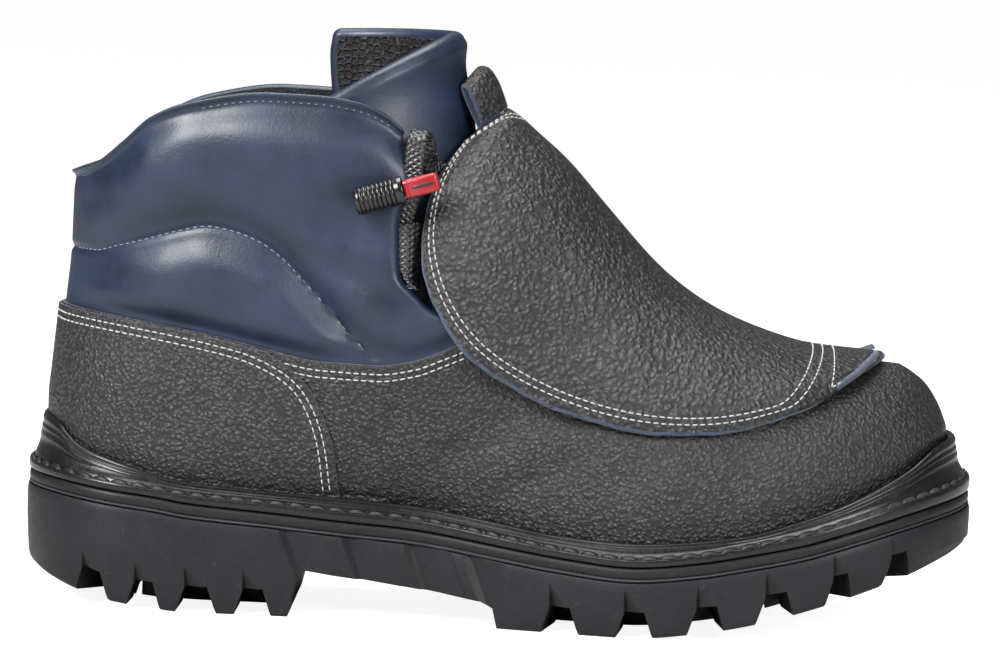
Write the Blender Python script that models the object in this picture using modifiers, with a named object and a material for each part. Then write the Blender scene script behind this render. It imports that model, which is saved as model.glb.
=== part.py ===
"""Metatarsal guard boot for the right foot, as separate solids.

Metres. +X runs to the toe, +Y to the inner side of the foot, +Z up. The origin lies on the ground
under the middle lug of the heel. Every form is a loft or a sweep worked out from the sizes below.
"""

import math

import bmesh
import bpy
import mathutils
import numpy as np

# Driving sizes
LENGTH = 0.312
BALL_WIDTH = 0.112
SOLE_HEIGHT = 0.036
COLLAR_HEIGHT = 0.168
HEEL_REST = 0.070
GAP = 0.0003

WALL = 0.0026
OVERLAY = 0.0012
LEDGE = 0.0008
PAD = 0.0034
PAD_ROUND = 0.006
HEEL_PAD_ROUND = 0.022
BULGE = 0.0022
FOOT_INSET = 0.0066
DOME_POWER = 2.4
HEEL_ROUND = 0.038
TOE_ROUND = 0.062

MIDSOLE_HEIGHT = 0.0045
MIDSOLE_INSET = 0.0008
MIDSOLE_CHAMFER = 0.0012
WELT_INSET = 0.0004
LIP_WIDTH = 0.0046
LIP_TIP = 0.0022
LEATHER_START = 0.0012
INSOLE_HEIGHT = 0.005
INSOLE_CHAMFER = 0.0008

TREAD_CHAMFER = 0.0022
TREAD_CHAMFER_RISE = 0.0024
TREAD_DRAFT = 0.0008
TOP_CHAMFER = 0.0004
TOP_CHAMFER_DROP = 0.0030
CUT_CLEAR = 0.006

LUG_DEPTH = 0.0088
LUG_REACH = 0.0255
CHANNEL_WIDTH = 0.0045
CHANNEL_DEPTH = 0.0062
RECESS_RISE = 0.0088
RECESS_DEPTH = 0.0030
STEP_DEPTH = 0.0022
STEP_RUN = 0.0155
STEP_RISE = 0.0026
GROOVE_FOOT = 0.0032
GROOVE_ROOF = 0.0022

TONGUE_THICKNESS = 0.0058
TONGUE_POWER = 1.8
GUARD_THICKNESS = 0.0026

LACE_WIDTH = 0.0062
LACE_THICKNESS = 0.0018
KEEPER_THICKNESS = 0.0014
KEEPER_HEIGHT = 0.0200
LOCK_RADIUS = 0.00465
LOCK_LENGTH = 0.0160
BUTTON_LENGTH = 0.0112
BUTTON_HEIGHT = 0.0062
LOOP_THICKNESS = 0.0016
LACE_CLEARANCE = 0.0012
LOOP_LENGTH = 0.047
KEEPER_TOP = 0.1285
LACE_JOINT = 3 * GAP
KEEPER_JOINT = 1.5 * GAP
LOCK_COLLAR = 0.0028
LOCK_STEPS = 14
RIB_DEPTH = 0.0006
RIBS = 6
LOOP_REACH_SIDE = 0.0132
LOOP_REACH_CREST = 0.0170
LOOP_LEAN = 0.96
LOOP_SPREAD = 0.22
TAIL_LEAN = 0.52
LOOP_SPAN = 0.14

SIDE_COLUMNS = 26
TONGUE_ROWS = 14
TONGUE_COLUMNS = 15
GUARD_ROWS = 28
GUARD_COLUMNS = 21
GUARD_POWER = 2.1

# Plan of the sole. station and centre line and half width, as shares of LENGTH and BALL_WIDTH
OUTLINE = (
    # station, centre, half
    (0.000, 0.000, 0.339),
    (0.160, -0.007, 0.348),
    (0.385, -0.032, 0.326),
    (0.545, -0.027, 0.411),
    (0.689, -0.004, 0.491),
    (0.801, 0.027, 0.482),
    (1.000, 0.080, 0.446),
)

# Side of the sole: bottom, top of the outsole and top of the welt's lip, as shares of SOLE_HEIGHT
SOLE_SIDE = (
    # station, bottom, top, lip
    (0.000, 0.350, 1.014, 1.690),
    (0.032, 0.235, 1.000, 1.625),
    (0.064, 0.150, 0.972, 1.431),
    (0.099, 0.075, 0.939, 1.333),
    (0.147, 0.022, 0.894, 1.222),
    (0.178, 0.000, 0.853, 1.167),
    (0.272, 0.000, 0.794, 1.111),
    (0.337, 0.000, 0.750, 1.083),
    (0.417, 0.000, 0.703, 1.036),
    (0.503, 0.000, 0.611, 0.939),
    (0.567, 0.000, 0.542, 0.861),
    (0.635, 0.000, 0.500, 0.833),
    (0.705, 0.056, 0.556, 0.875),
    (0.760, 0.139, 0.639, 0.944),
    (0.814, 0.264, 0.736, 1.083),
    (0.865, 0.403, 0.861, 1.250),
    (0.923, 0.569, 1.000, 1.500),
    (0.962, 0.694, 1.078, 1.720),
    (1.000, 0.806, 1.139, 1.800),
)

# Underside of the raised waist, as shares of LENGTH and SOLE_HEIGHT
WAIST = (
    # station, height
    (0.285, -0.10),
    (0.299, 0.430),
    (0.360, 0.370),
    (0.426, 0.310),
    (0.487, 0.240),
    (0.500, 0.180),
    (0.508, -0.10),
)

# Gaps between the lugs at the edge, as shares of LENGTH along the centre line
LUG_GAPS = (
    # start, end
    (0.064, 0.099),
    (0.122, 0.154),
    (0.173, 0.212),
    (0.234, 0.269),
    (0.551, 0.587),
    (0.628, 0.663),
    (0.702, 0.737),
    (0.772, 0.808),
    (0.843, 0.869),
    (0.901, 0.933),
)

# Grooves across the middle of the tread, as shares of LENGTH
CROSS_GROOVES = (0.128, 0.600, 0.688, 0.775, 0.850)

# Slanted steps in the side of the waist, as shares of LENGTH and SOLE_HEIGHT
WAIST_STEPS = (
    # top_station, top, bottom_station, bottom
    (0.269, 0.86, 0.297, 0.37),
    (0.333, 0.84, 0.361, 0.35),
    (0.397, 0.80, 0.427, 0.28),
    (0.458, 0.74, 0.489, 0.20),
)

# Top edge of the black leather, then the crest of the vamp, as shares of LENGTH, COLLAR_HEIGHT
# and BALL_WIDTH
TOPLINE = (
    # station, height, half
    (0.000, 0.580, 0.272),
    (0.112, 0.560, 0.286),
    (0.179, 0.542, 0.300),
    (0.247, 0.518, 0.316),
    (0.314, 0.496, 0.332),
    (0.372, 0.494, 0.348),
    (0.410, 0.506, 0.360),
    (0.442, 0.530, 0.366),
    (0.468, 0.551, 0.364),
    (0.513, 0.583, 0.321),
    (0.561, 0.598, 0.241),
    (0.609, 0.595, 0.134),
    (0.638, 0.588, 0.062),
    (0.651, 0.583, 0.000),
    (0.712, 0.557, 0.000),
    (0.769, 0.539, 0.000),
    (0.808, 0.529, 0.000),
    (0.840, 0.523, 0.000),
    (0.881, 0.518, 0.000),
    (0.906, 0.514, 0.000),
    (1.000, 0.505, 0.000),
)

# Back of the heel on the centre line, as shares of COLLAR_HEIGHT and LENGTH
HEEL_BACK = (
    # height, station
    (0.000, 0.0225),
    (0.385, 0.0225),
    (0.446, 0.0250),
    (0.577, 0.0308),
    (0.690, 0.0353),
    (0.786, 0.0359),
    (0.833, 0.0385),
    (1.000, 0.0450),
)

# Front of the toe on the centre line, as shares of COLLAR_HEIGHT and LENGTH
TOE_FRONT = (
    # height, station
    (0.000, 0.9710),
    (0.385, 0.9710),
    (0.405, 0.9680),
    (0.445, 0.9590),
    (0.480, 0.9460),
    (0.500, 0.9300),
    (0.516, 0.9060),
)

# Rim of the collar and its half width, as shares of LENGTH, COLLAR_HEIGHT and BALL_WIDTH
COLLAR = (
    # station, height, half
    (0.038, 0.827, 0.345),
    (0.071, 0.851, 0.349),
    (0.099, 0.893, 0.353),
    (0.131, 0.946, 0.358),
    (0.170, 0.976, 0.363),
    (0.250, 1.000, 0.366),
    (0.304, 0.998, 0.360),
    (0.343, 0.988, 0.349),
    (0.372, 0.967, 0.337),
    (0.388, 0.943, 0.328),
)

# Front edge of the shaft, from the topline up to the rim: rise share and station
SHAFT_FRONT = (
    # rise, station
    (0.00, 0.468),
    (0.10, 0.446),
    (0.25, 0.407),
    (0.40, 0.382),
    (0.60, 0.379),
    (0.80, 0.389),
    (1.00, 0.388),
)

# Seam between the upper and the lower pad of the shaft, as shares of LENGTH and COLLAR_HEIGHT
PAD_SEAM = (
    # station, height
    (0.000, 0.684),
    (0.067, 0.684),
    (0.093, 0.696),
    (0.128, 0.714),
    (0.160, 0.732),
    (0.192, 0.744),
    (0.215, 0.738),
    (0.244, 0.720),
    (0.269, 0.690),
    (0.292, 0.649),
    (0.314, 0.607),
    (0.343, 0.548),
    (0.372, 0.500),
)

# Tongue: front line, then the ends of both wings, as shares of LENGTH, COLLAR_HEIGHT and BALL_WIDTH
TONGUE = (
    # front, front_z, wing, outer_z, inner_z, half
    (0.668, 0.556, 0.640, 0.530, 0.530, 0.150),
    (0.640, 0.562, 0.590, 0.520, 0.520, 0.200),
    (0.600, 0.585, 0.530, 0.520, 0.520, 0.240),
    (0.560, 0.628, 0.470, 0.535, 0.535, 0.262),
    (0.522, 0.695, 0.420, 0.580, 0.580, 0.278),
    (0.492, 0.775, 0.380, 0.660, 0.660, 0.290),
    (0.473, 0.860, 0.350, 0.760, 0.760, 0.300),
    (0.460, 0.950, 0.326, 0.850, 0.870, 0.304),
    (0.453, 1.040, 0.312, 0.930, 0.990, 0.304),
    (0.449, 1.095, 0.308, 0.970, 1.075, 0.302),
    (0.446, 1.120, 0.310, 0.990, 1.110, 0.298),
)

# Guard: crest line, then its edge and half width, as shares of LENGTH, COLLAR_HEIGHT and BALL_WIDTH
GUARD = (
    # crest, crest_z, edge, edge_z, half
    (0.8990, 0.5270, 0.8950, 0.5190, 0.100),
    (0.8900, 0.5310, 0.8860, 0.4960, 0.180),
    (0.8720, 0.5340, 0.8680, 0.4790, 0.254),
    (0.8490, 0.5370, 0.8420, 0.4620, 0.322),
    (0.8270, 0.5420, 0.8160, 0.4430, 0.366),
    (0.8040, 0.5520, 0.7880, 0.4250, 0.398),
    (0.7790, 0.5670, 0.7560, 0.4080, 0.420),
    (0.7500, 0.5850, 0.7210, 0.3960, 0.433),
    (0.7210, 0.6090, 0.6830, 0.3930, 0.440),
    (0.6950, 0.6380, 0.6440, 0.3960, 0.436),
    (0.6700, 0.6720, 0.6060, 0.4080, 0.424),
    (0.6470, 0.7110, 0.5670, 0.4270, 0.412),
    (0.6280, 0.7500, 0.5350, 0.4510, 0.408),
    (0.6090, 0.7890, 0.5060, 0.4760, 0.410),
    (0.5900, 0.8270, 0.4810, 0.5060, 0.416),
    (0.5740, 0.8620, 0.4580, 0.5420, 0.424),
    (0.5580, 0.8930, 0.4390, 0.5890, 0.422),
    (0.5420, 0.9180, 0.4250, 0.6370, 0.408),
    (0.5290, 0.9370, 0.4170, 0.6850, 0.388),
    (0.5180, 0.9550, 0.4135, 0.7260, 0.368),
    (0.5100, 0.9670, 0.4135, 0.7740, 0.342),
    (0.5030, 0.9760, 0.4200, 0.8330, 0.300),
    (0.4985, 0.9820, 0.4330, 0.8870, 0.236),
    (0.4955, 0.9850, 0.4520, 0.9290, 0.130),
)

# Free loop of the lace, up from the outer keeper: place off the centre line, then the way its face looks
LACE_LOOP = (
    # station, side, height, face_x, face_y, face_z
    (0.3930, 0.3255, 0.738, 0.2, -1.0, 0.0),
    (0.3940, 0.3290, 0.774, 0.1, -1.0, 0.0),
    (0.3985, 0.3400, 0.816, 0.0, -1.0, 0.0),
    (0.4015, 0.3500, 0.857, 0.0, -1.0, 0.0),
    (0.4030, 0.3540, 0.899, 0.0, -1.0, 0.2),
    (0.4050, 0.3450, 0.929, 0.1, -0.7, 0.8),
    (0.4075, 0.3190, 0.941, 0.1, 0.0, 1.0),
    (0.4110, 0.2920, 0.930, -0.1, 0.7, 0.8),
    (0.4145, 0.2720, 0.904, -0.3, 0.9, 0.2),
)

# Lace across the front of the tongue, as shares along the tongue and across it
LACE_BAR = (
    # along, across
    (0.660, 0.225),
    (0.610, 0.300),
    (0.560, 0.400),
    (0.530, 0.500),
    (0.525, 0.600),
    (0.540, 0.720),
    (0.565, 0.810),
)

# End of the lace in the inner keeper, as for the loop
LACE_END = (
    # station, side, height, face_x, face_y, face_z
    (0.3960, 0.3330, 0.790, -0.2, -1.0, 0.0),
    (0.3930, 0.3255, 0.765, -0.2, -1.0, 0.0),
    (0.3930, 0.3255, 0.738, -0.2, -1.0, 0.0),
)

# Plan of a keeper's outer face, from the front edge of the shaft round its fold to its inner leg
KEEPER = (
    # station, side
    (0.3900, 0.3540),
    (0.4010, 0.3500),
    (0.4080, 0.3340),
    (0.4125, 0.3160),
    (0.4100, 0.2980),
    (0.4000, 0.2930),
    (0.3860, 0.2970),
    (0.3680, 0.3040),
)

# Ends of the lock's axis on the padding, as shares of LENGTH and COLLAR_HEIGHT
LOCK_BACK = (0.3446, 0.808)
LOCK_FRONT = (0.3900, 0.833)

# Outer face of the pull loop away from the guard's edge and off its face, as shares of its reach
PULL_LOOP = (
    # reach, rise
    (0.06, 0.00),
    (0.30, 0.08),
    (0.60, 0.15),
    (0.88, 0.12),
    (1.00, -0.04),
    (0.98, -0.22),
    (0.72, -0.33),
    (0.34, -0.37),
    (0.00, -0.38),
    (-0.22, -0.40),
    (-0.42, -0.42),
)


def along(place, table, column, across=0):
    """Smooth curve through two columns of a table: cubic pieces that never overshoot a row."""
    rows = np.array(table)
    x = rows[:, across]
    y = rows[:, column]
    step = np.diff(x)
    slope = np.diff(y) / step
    turn = slope[1:] * slope[:-1] > 0
    middle = np.where(turn, 2 * slope[1:] * slope[:-1] / np.where(turn, slope[1:] + slope[:-1], 1), 0)
    tangent = np.concatenate([slope[:1], middle, slope[-1:]])
    place = np.clip(place, x[0], x[-1])
    i = np.clip(np.searchsorted(x, place, side="right") - 1, 0, len(step) - 1)
    t = (place - x[i]) / step[i]
    return (
        (1 + 2 * t) * (1 - t) ** 2 * y[i]
        + t * (1 - t) ** 2 * step[i] * tangent[i]
        + t * t * (3 - 2 * t) * y[i + 1]
        - t * t * (1 - t) * step[i] * tangent[i + 1]
    )


def ease(t):
    """Smooth step from 0 to 1."""
    t = np.clip(t, 0, 1)
    return t * t * (3 - 2 * t)


# In what follows x is the distance from the back of the heel, and place() moves it to the frame


def centre(x):
    return BALL_WIDTH * along(x / LENGTH, OUTLINE, 1)


def rounding(x, back, front):
    """Share of the half width that is left near the round heel and the round toe."""
    heel = np.clip(1 - (x - back) / HEEL_ROUND, 0, 1)
    toe = np.clip(1 - (front - x) / TOE_ROUND, 0, 1)
    return np.sqrt(1 - heel**2) * (1 - toe**2.2) ** (1 / 2.2)


def sole_half(x, inset=0.0):
    return BALL_WIDTH * along(x / LENGTH, OUTLINE, 2) - inset


def sole_bottom(x):
    return SOLE_HEIGHT * along(x / LENGTH, SOLE_SIDE, 1)


def sole_top(x):
    return SOLE_HEIGHT * along(x / LENGTH, SOLE_SIDE, 2)


def lip_top(x):
    return SOLE_HEIGHT * along(x / LENGTH, SOLE_SIDE, 3)


def midsole_top(x):
    return sole_top(x) + GAP + MIDSOLE_HEIGHT


def topline(x):
    return COLLAR_HEIGHT * along(x / LENGTH, TOPLINE, 1)


def collar_rim(x):
    return COLLAR_HEIGHT * along(x / LENGTH, COLLAR, 1)


def heel_back(z):
    return LENGTH * along(z / COLLAR_HEIGHT, HEEL_BACK, 1)


def toe_front(z):
    return LENGTH * along(z / COLLAR_HEIGHT, TOE_FRONT, 1)


def spread(count):
    """Shares from front to back, close together at both round ends."""
    return (1 + np.cos(np.pi * np.arange(count + 1) / count)) / 2


def place(x, y, z):
    return np.stack([x - HEEL_REST, y, z], axis=-1)


def ring(back, front, inset, height):
    """Closed loop round the foot: from the toe along the outer side to the heel and back."""
    x = back + (front - back) * spread(SIDE_COLUMNS)
    half = sole_half(x, inset) * rounding(x, back, front)
    z = height(x)
    outer = place(x, centre(x) - half, z)
    inner = place(x, centre(x) + half, z)
    return np.concatenate([outer, inner[-2:0:-1]])


def inset_ring(inset, height):
    return ring(inset, LENGTH - inset, inset, height)


# Mesh helpers


def link_cutter(name, mesh):
    obj = bpy.data.objects.new(name, mesh)
    CUTTERS.objects.link(obj)
    obj.hide_render = True
    obj.display_type = "WIRE"
    return obj


def link(name, mesh, colour, roughness):
    """Object with its own material in the boot's collection."""
    obj = bpy.data.objects.new(name, mesh)
    BOOT.objects.link(obj)
    material = bpy.data.materials.new(name)
    material.use_nodes = True
    shader = material.node_tree.nodes["Principled BSDF"]
    shader.inputs["Base Color"].default_value = (*colour, 1.0)
    shader.inputs["Roughness"].default_value = roughness
    mesh.materials.append(material)
    mesh.shade_smooth()
    mesh.set_sharp_from_angle(angle=math.radians(38))
    return obj


def closed_mesh(name, points, faces):
    """Mesh from points and faces, with doubles merged and its faces turned outwards."""
    mesh = bpy.data.meshes.new(name)
    mesh.from_pydata([tuple(p) for p in points], [], [tuple(int(i) for i in f) for f in faces])
    shape = bmesh.new()
    shape.from_mesh(mesh)
    bmesh.ops.remove_doubles(shape, verts=shape.verts, dist=0.00002)
    bmesh.ops.dissolve_degenerate(shape, edges=shape.edges, dist=0.00001)
    bmesh.ops.recalc_face_normals(shape, faces=shape.faces)
    if shape.calc_volume(signed=True) < 0:
        bmesh.ops.reverse_faces(shape, faces=shape.faces)
    shape.to_mesh(mesh)
    shape.free()
    return mesh


def grid_faces(rows, columns, start=0):
    """Quads of a grid of rows by columns whose points are numbered row by row."""
    corner = start + np.arange(rows - 1)[:, None] * columns + np.arange(columns - 1)[None, :]
    corner = corner.ravel()
    return np.stack([corner, corner + 1, corner + columns + 1, corner + columns], axis=1)


def stacked(name, rings, colour, roughness):
    """Solid between a stack of rings, closed across its lowest and its highest ring."""
    count = len(rings[0])
    points = np.concatenate(rings)
    faces = []
    for level in range(len(rings) - 1):
        for i in range(count):
            j = (i + 1) % count
            a = level * count
            faces.append((a + i, a + j, a + count + j, a + count + i))
    for level in (0, len(rings) - 1):
        a = level * count
        for i in range(count // 2):
            across = (a + i, a + i + 1, a + (count - i - 1) % count, a + (count - i) % count)
            faces.append(tuple(dict.fromkeys(across)))
    return link(name, closed_mesh(name, points, faces), colour, roughness)


def ring_mesh(name, rings):
    """Ring solid: its rings follow one another round the cross-section and the last meets the first."""
    count = len(rings[0])
    points = np.concatenate(rings)
    faces = []
    for level in range(len(rings)):
        a = level * count
        b = (level + 1) % len(rings) * count
        for i in range(count):
            j = (i + 1) % count
            faces.append((a + i, a + j, b + j, b + i))
    return closed_mesh(name, points, faces)


def normals_of(points, faces):
    """Unit normal at each point: the sum of the crossed diagonals of the quads round it."""
    quads = points[faces]
    crossed = np.cross(quads[:, 2] - quads[:, 0], quads[:, 3] - quads[:, 1])
    total = np.zeros_like(points)
    for corner in range(4):
        np.add.at(total, faces[:, corner], crossed)
    return total / np.maximum(np.linalg.norm(total, axis=1), 1e-12)[:, None]


def shell(name, outer, inner, faces, colour, roughness):
    """Wall between two like surfaces, closed along every free edge."""
    count = len(outer)
    edges = np.concatenate([faces[:, [i, (i + 1) % 4]] for i in range(4)])
    edges = edges[edges[:, 0] != edges[:, 1]]
    known = {(int(a), int(b)) for a, b in edges}
    border = [(a, b) for a, b in known if (b, a) not in known]
    whole = [tuple(dict.fromkeys(int(i) for i in f)) for f in faces]
    whole += [tuple(i + count for i in reversed(f)) for f in whole]
    whole += [(b, a, a + count, b + count) for a, b in sorted(border)]
    return link(name, closed_mesh(name, np.concatenate([outer, inner]), whole), colour, roughness)


def hulls(name, groups):
    """One cutter made of several convex bodies, each the hull of its points."""
    mesh = bpy.data.meshes.new(name)
    shape = bmesh.new()
    for points in groups:
        corners = [shape.verts.new(tuple(p)) for p in points]
        bmesh.ops.convex_hull(shape, input=corners)
    spare = [corner for corner in shape.verts if not corner.link_faces]
    bmesh.ops.delete(shape, geom=spare, context="VERTS")
    bmesh.ops.recalc_face_normals(shape, faces=shape.faces)
    shape.to_mesh(mesh)
    shape.free()
    return link_cutter(name, mesh)


def cut(obj, cutter):
    """Takes the cutter's volume out of the object."""
    modifier = obj.modifiers.new(cutter.name, "BOOLEAN")
    modifier.operation = "DIFFERENCE"
    modifier.object = cutter
    modifier.use_self = True


# Sole


def edge_frame(x, side):
    """Point of the sole's edge on the ground, the way inwards and the way to the toe."""
    step = 0.001
    ends = np.array([x - step, x, x + step])
    half = sole_half(ends) * rounding(ends, 0.0, LENGTH)
    y = centre(ends) + side * half
    forward = np.array([2 * step, y[2] - y[0], 0.0])
    forward /= np.linalg.norm(forward)
    inward = side * np.array([forward[1], -forward[0], 0.0])
    return place(ends[1], y[1], 0.0), inward, forward


def lug_gap(start, end, side):
    """Tapered slot from the edge inwards, wide at the ground and narrow at its roof."""
    x = (start + end) / 2 * LENGTH
    edge, inward, forward = edge_frame(x, side)
    floor = float(sole_bottom(x))
    low = (end - start) / 2 * LENGTH
    high = low * 0.58
    slope = (float(sole_bottom(x + low)) - float(sole_bottom(x - low))) / 2
    points = []
    for depth in (-0.008, LUG_REACH):
        for width, z in ((low * 1.35, -0.004), (low, 0.0), (high, LUG_DEPTH)):
            for way in (-1, 1):
                lift = np.array([0, 0, floor + z + way * slope * width / low])
                points.append(edge + inward * depth + forward * way * width + lift)
    return points


def lug_recess(start, end, side):
    """Hollow facet above a gap: deepest at its heel side, running out at its toe side."""
    x = (start + end) / 2 * LENGTH
    edge, inward, forward = edge_frame(x, side)
    reach = (end - start) / 2 * LENGTH * 0.62
    roof = float(sole_bottom(x)) + LUG_DEPTH - 0.0015
    deep = edge - forward * reach + inward * RECESS_DEPTH + np.array([0, 0, roof])
    apex = edge - forward * reach + np.array([0, 0, roof + RECESS_RISE])
    out = edge + forward * reach * 1.1 + np.array([0, 0, roof])
    margin = inward * -0.004
    return [deep, apex, out, deep + margin * 2, apex + margin, out + margin]


def waist_step(top_station, top, bottom_station, bottom, side):
    """Slanted saw-tooth cut in the side wall: steep behind, running out towards the toe."""
    points = []
    for station, height, reach in ((top_station, top, 0.15), (bottom_station, bottom, -0.25)):
        station += (top_station - bottom_station) * reach
        edge, inward, forward = edge_frame(station * LENGTH, side)
        lift = np.array([0, 0, (height + reach) * SOLE_HEIGHT])
        profile = ((0, -CUT_CLEAR), (0, 0), (STEP_RISE, STEP_DEPTH), (STEP_RUN, -GAP), (STEP_RUN, -CUT_CLEAR))
        points += [edge + forward * run + inward * depth + lift for run, depth in profile]
    return points


def make_outsole():
    rings = [
        inset_ring(TREAD_CHAMFER, sole_bottom),
        inset_ring(TREAD_DRAFT, lambda x: sole_bottom(x) + TREAD_CHAMFER_RISE),
        inset_ring(0, lambda x: sole_top(x) - TOP_CHAMFER_DROP),
        inset_ring(TOP_CHAMFER, sole_top),
    ]
    outsole = stacked("outsole", rings, (0.047, 0.048, 0.052), 0.62)

    points = []
    for side in (-1, 1):
        for station, height in WAIST:
            points.append((station * LENGTH - HEEL_REST, side * BALL_WIDTH, height * SOLE_HEIGHT))
    cut(outsole, hulls("waist_cutter", [points]))

    def roof(x):
        return sole_bottom(x) + CHANNEL_DEPTH

    def ground(x):
        return sole_bottom(x) - CUT_CLEAR

    outer = LUG_REACH - 0.0015
    inner = outer + CHANNEL_WIDTH
    channel = [inset_ring(outer, ground), inset_ring(outer, roof)]
    channel += [inset_ring(inner, roof), inset_ring(inner, ground)]
    cut(outsole, link_cutter("channel_cutter", ring_mesh("channel_cutter", channel)))

    cut(outsole, hulls("gap_cutter", [lug_gap(a, b, side) for a, b in LUG_GAPS for side in (-1, 1)]))

    grooves = []
    for station in CROSS_GROOVES:
        x = station * LENGTH
        half = float(sole_half(np.array([x]))[0]) - outer - 0.0015
        middle = float(centre(np.array([x]))[0])
        floor = float(sole_bottom(np.array([x]))[0])
        points = []
        for width, height in ((GROOVE_FOOT, -CUT_CLEAR), (GROOVE_ROOF, CHANNEL_DEPTH - 0.0006)):
            for way in (-1, 1):
                points += [place(x + way * width, middle + side * half, floor + height) for side in (-1, 1)]
        grooves.append(points)
    cut(outsole, hulls("groove_cutter", grooves))

    wall_cuts = [lug_recess(a, b, side) for a, b in LUG_GAPS for side in (-1, 1)]
    cut(outsole, hulls("recess_cutter", wall_cuts))
    cut(outsole, hulls("step_cutter", [waist_step(*row, side) for row in WAIST_STEPS for side in (-1, 1)]))


def make_midsole():
    rings = [
        inset_ring(MIDSOLE_INSET + TOP_CHAMFER, lambda x: sole_top(x) + GAP),
        inset_ring(MIDSOLE_INSET, lambda x: sole_top(x) + MIDSOLE_CHAMFER),
        inset_ring(MIDSOLE_INSET, lambda x: midsole_top(x) - MIDSOLE_CHAMFER),
        inset_ring(MIDSOLE_INSET * 2, midsole_top),
    ]
    stacked("midsole", rings, (0.020, 0.018, 0.017), 0.5)


def foot_ring(offset, height):
    """Loop round the foot of the upper, moved outwards by an offset."""
    return ring(
        float(heel_back(np.array([0.0]))[0]) - offset,
        float(toe_front(np.array([0.0]))[0]) + offset,
        FOOT_INSET - offset,
        height,
    )


def make_welt():
    """Storm welt: a stitched ledge outside and a lip that rises against the leather."""

    def seat(x):
        return midsole_top(x) + GAP

    def share(part):
        return lambda x: seat(x) + (lip_top(x) - seat(x)) * part

    rings = [
        foot_ring(GAP, seat),
        foot_ring(GAP, lip_top),
        foot_ring(GAP + LIP_TIP * 0.6, lambda x: lip_top(x) + 0.0004),
        foot_ring(GAP + LIP_TIP, lambda x: lip_top(x) - 0.0010),
        foot_ring(GAP + LIP_TIP * 1.35, share(0.62)),
        foot_ring(GAP + LIP_WIDTH * 0.85, share(0.56)),
        inset_ring(WELT_INSET + 0.0006, share(0.46)),
        inset_ring(WELT_INSET, share(0.16)),
        inset_ring(WELT_INSET + 0.0008, seat),
    ]
    link("storm_welt", ring_mesh("storm_welt", rings), (0.016, 0.016, 0.017), 0.35)


def make_insole():
    inset = -(WALL + GAP)

    def low(x):
        return midsole_top(x) + GAP

    rings = [
        foot_ring(inset, low),
        foot_ring(inset, lambda x: low(x) + INSOLE_HEIGHT - INSOLE_CHAMFER),
        foot_ring(inset - INSOLE_CHAMFER, lambda x: low(x) + INSOLE_HEIGHT),
    ]
    stacked("insole", rings, (0.05, 0.05, 0.055), 0.9)


# Upper


def dome_share(x):
    """0 where the side is a wall under the shaft, 1 where it closes over the toe as a dome."""
    return ease((x / LENGTH - 0.36) / 0.29)


def side_section(x, q):
    """Rise and inward shares at level q of a side section: straight at the heel, round at the toe."""
    dome = dome_share(x)
    angle = q * np.pi / 2
    rise = (1 - dome) * q + dome * np.sin(angle) ** (2 / DOME_POWER)
    width = (1 - dome) * (1 - q) + dome * np.maximum(np.cos(angle), 0) ** (2 / DOME_POWER)
    return rise, width


def leather(x, q, back, front):
    """Half width and height of the black leather at level q, from the lip up to its top edge."""
    rise, width = side_section(x, q)
    low = lip_top(x) + LEATHER_START
    high = topline(x)
    top_half = BALL_WIDTH * along(x / LENGTH, TOPLINE, 2)
    half = top_half + (sole_half(x, FOOT_INSET) - top_half) * width
    half = half + BULGE * np.sin(np.pi * np.clip(rise, 0, 1) ** 0.6) * np.minimum(1, half / 0.02)
    return half * rounding(x, back, front), low + (high - low) * rise


def pad_relief(x, z):
    """Height of the shaft's padding: full between its seams and low along them."""
    seam = COLLAR_HEIGHT * along(x / LENGTH, PAD_SEAM, 1)
    in_pads = x / LENGTH < PAD_SEAM[-1][0]
    from_seam = np.where(in_pads, np.abs(z - seam), 0.03)
    from_edge = np.minimum(z - topline(x), collar_rim(x) - z)

    def soft(distance, reach):
        return 1 - np.exp(-((np.maximum(distance, 0) / reach) ** 2))

    padded = soft(from_edge, PAD_ROUND) * (0.25 + 0.75 * soft(from_seam, PAD_ROUND))
    return -OVERLAY + (PAD + OVERLAY) * padded * soft(x - heel_back(z), HEEL_PAD_ROUND)


def shaft(x, rise, back):
    """Half width and height of the shaft at a share of its rise from the topline to the rim."""
    low = topline(x) + LEDGE
    high = collar_rim(x)
    lower_half = BALL_WIDTH * along(x / LENGTH, TOPLINE, 2)
    upper_half = BALL_WIDTH * along(x / LENGTH, COLLAR, 2)
    half = lower_half + (upper_half - lower_half) * ease(rise)
    round_length = HEEL_ROUND * (1 + 0.2 * rise)
    heel = np.clip(1 - (x - back) / round_length, 0, 1)
    return half * np.sqrt(1 - heel**2), low + (high - low) * rise


LEATHER_LEVELS = (0.0, 0.10, 0.22, 0.34, 0.46, 0.58, 0.70, 0.81, 0.91, 1.0)
SHAFT_LEVELS = (0.0, 0.07, 0.18, 0.30, 0.42, 0.54, 0.66, 0.78, 0.89, 0.96, 1.0)
SHAFT_COLUMN = SIDE_COLUMNS // 2


def upper_rows():
    """Rows of x, half width and height, from the foot of the upper to the rim of the collar."""
    rows = []
    shares = spread(SIDE_COLUMNS)
    back = float(heel_back(np.array([0.0]))[0])
    front = float(toe_front(np.array([0.0]))[0])
    x = back + (front - back) * shares
    half = sole_half(x, FOOT_INSET) * rounding(x, back, front)
    rows.append((x, half, midsole_top(x) + GAP))
    for q in LEATHER_LEVELS:
        ends = []
        for end, edge in ((0.03 * LENGTH, heel_back), (0.96 * LENGTH, toe_front)):
            rise, _ = side_section(np.array([end]), q)
            low = lip_top(np.array([end])) + LEATHER_START
            z = low + (topline(np.array([end])) - low) * rise
            ends.append(float(edge(z)[0]))
        x = ends[0] + (ends[1] - ends[0]) * shares
        rows.append((x, *leather(x, q, *ends)))
    return rows


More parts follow.
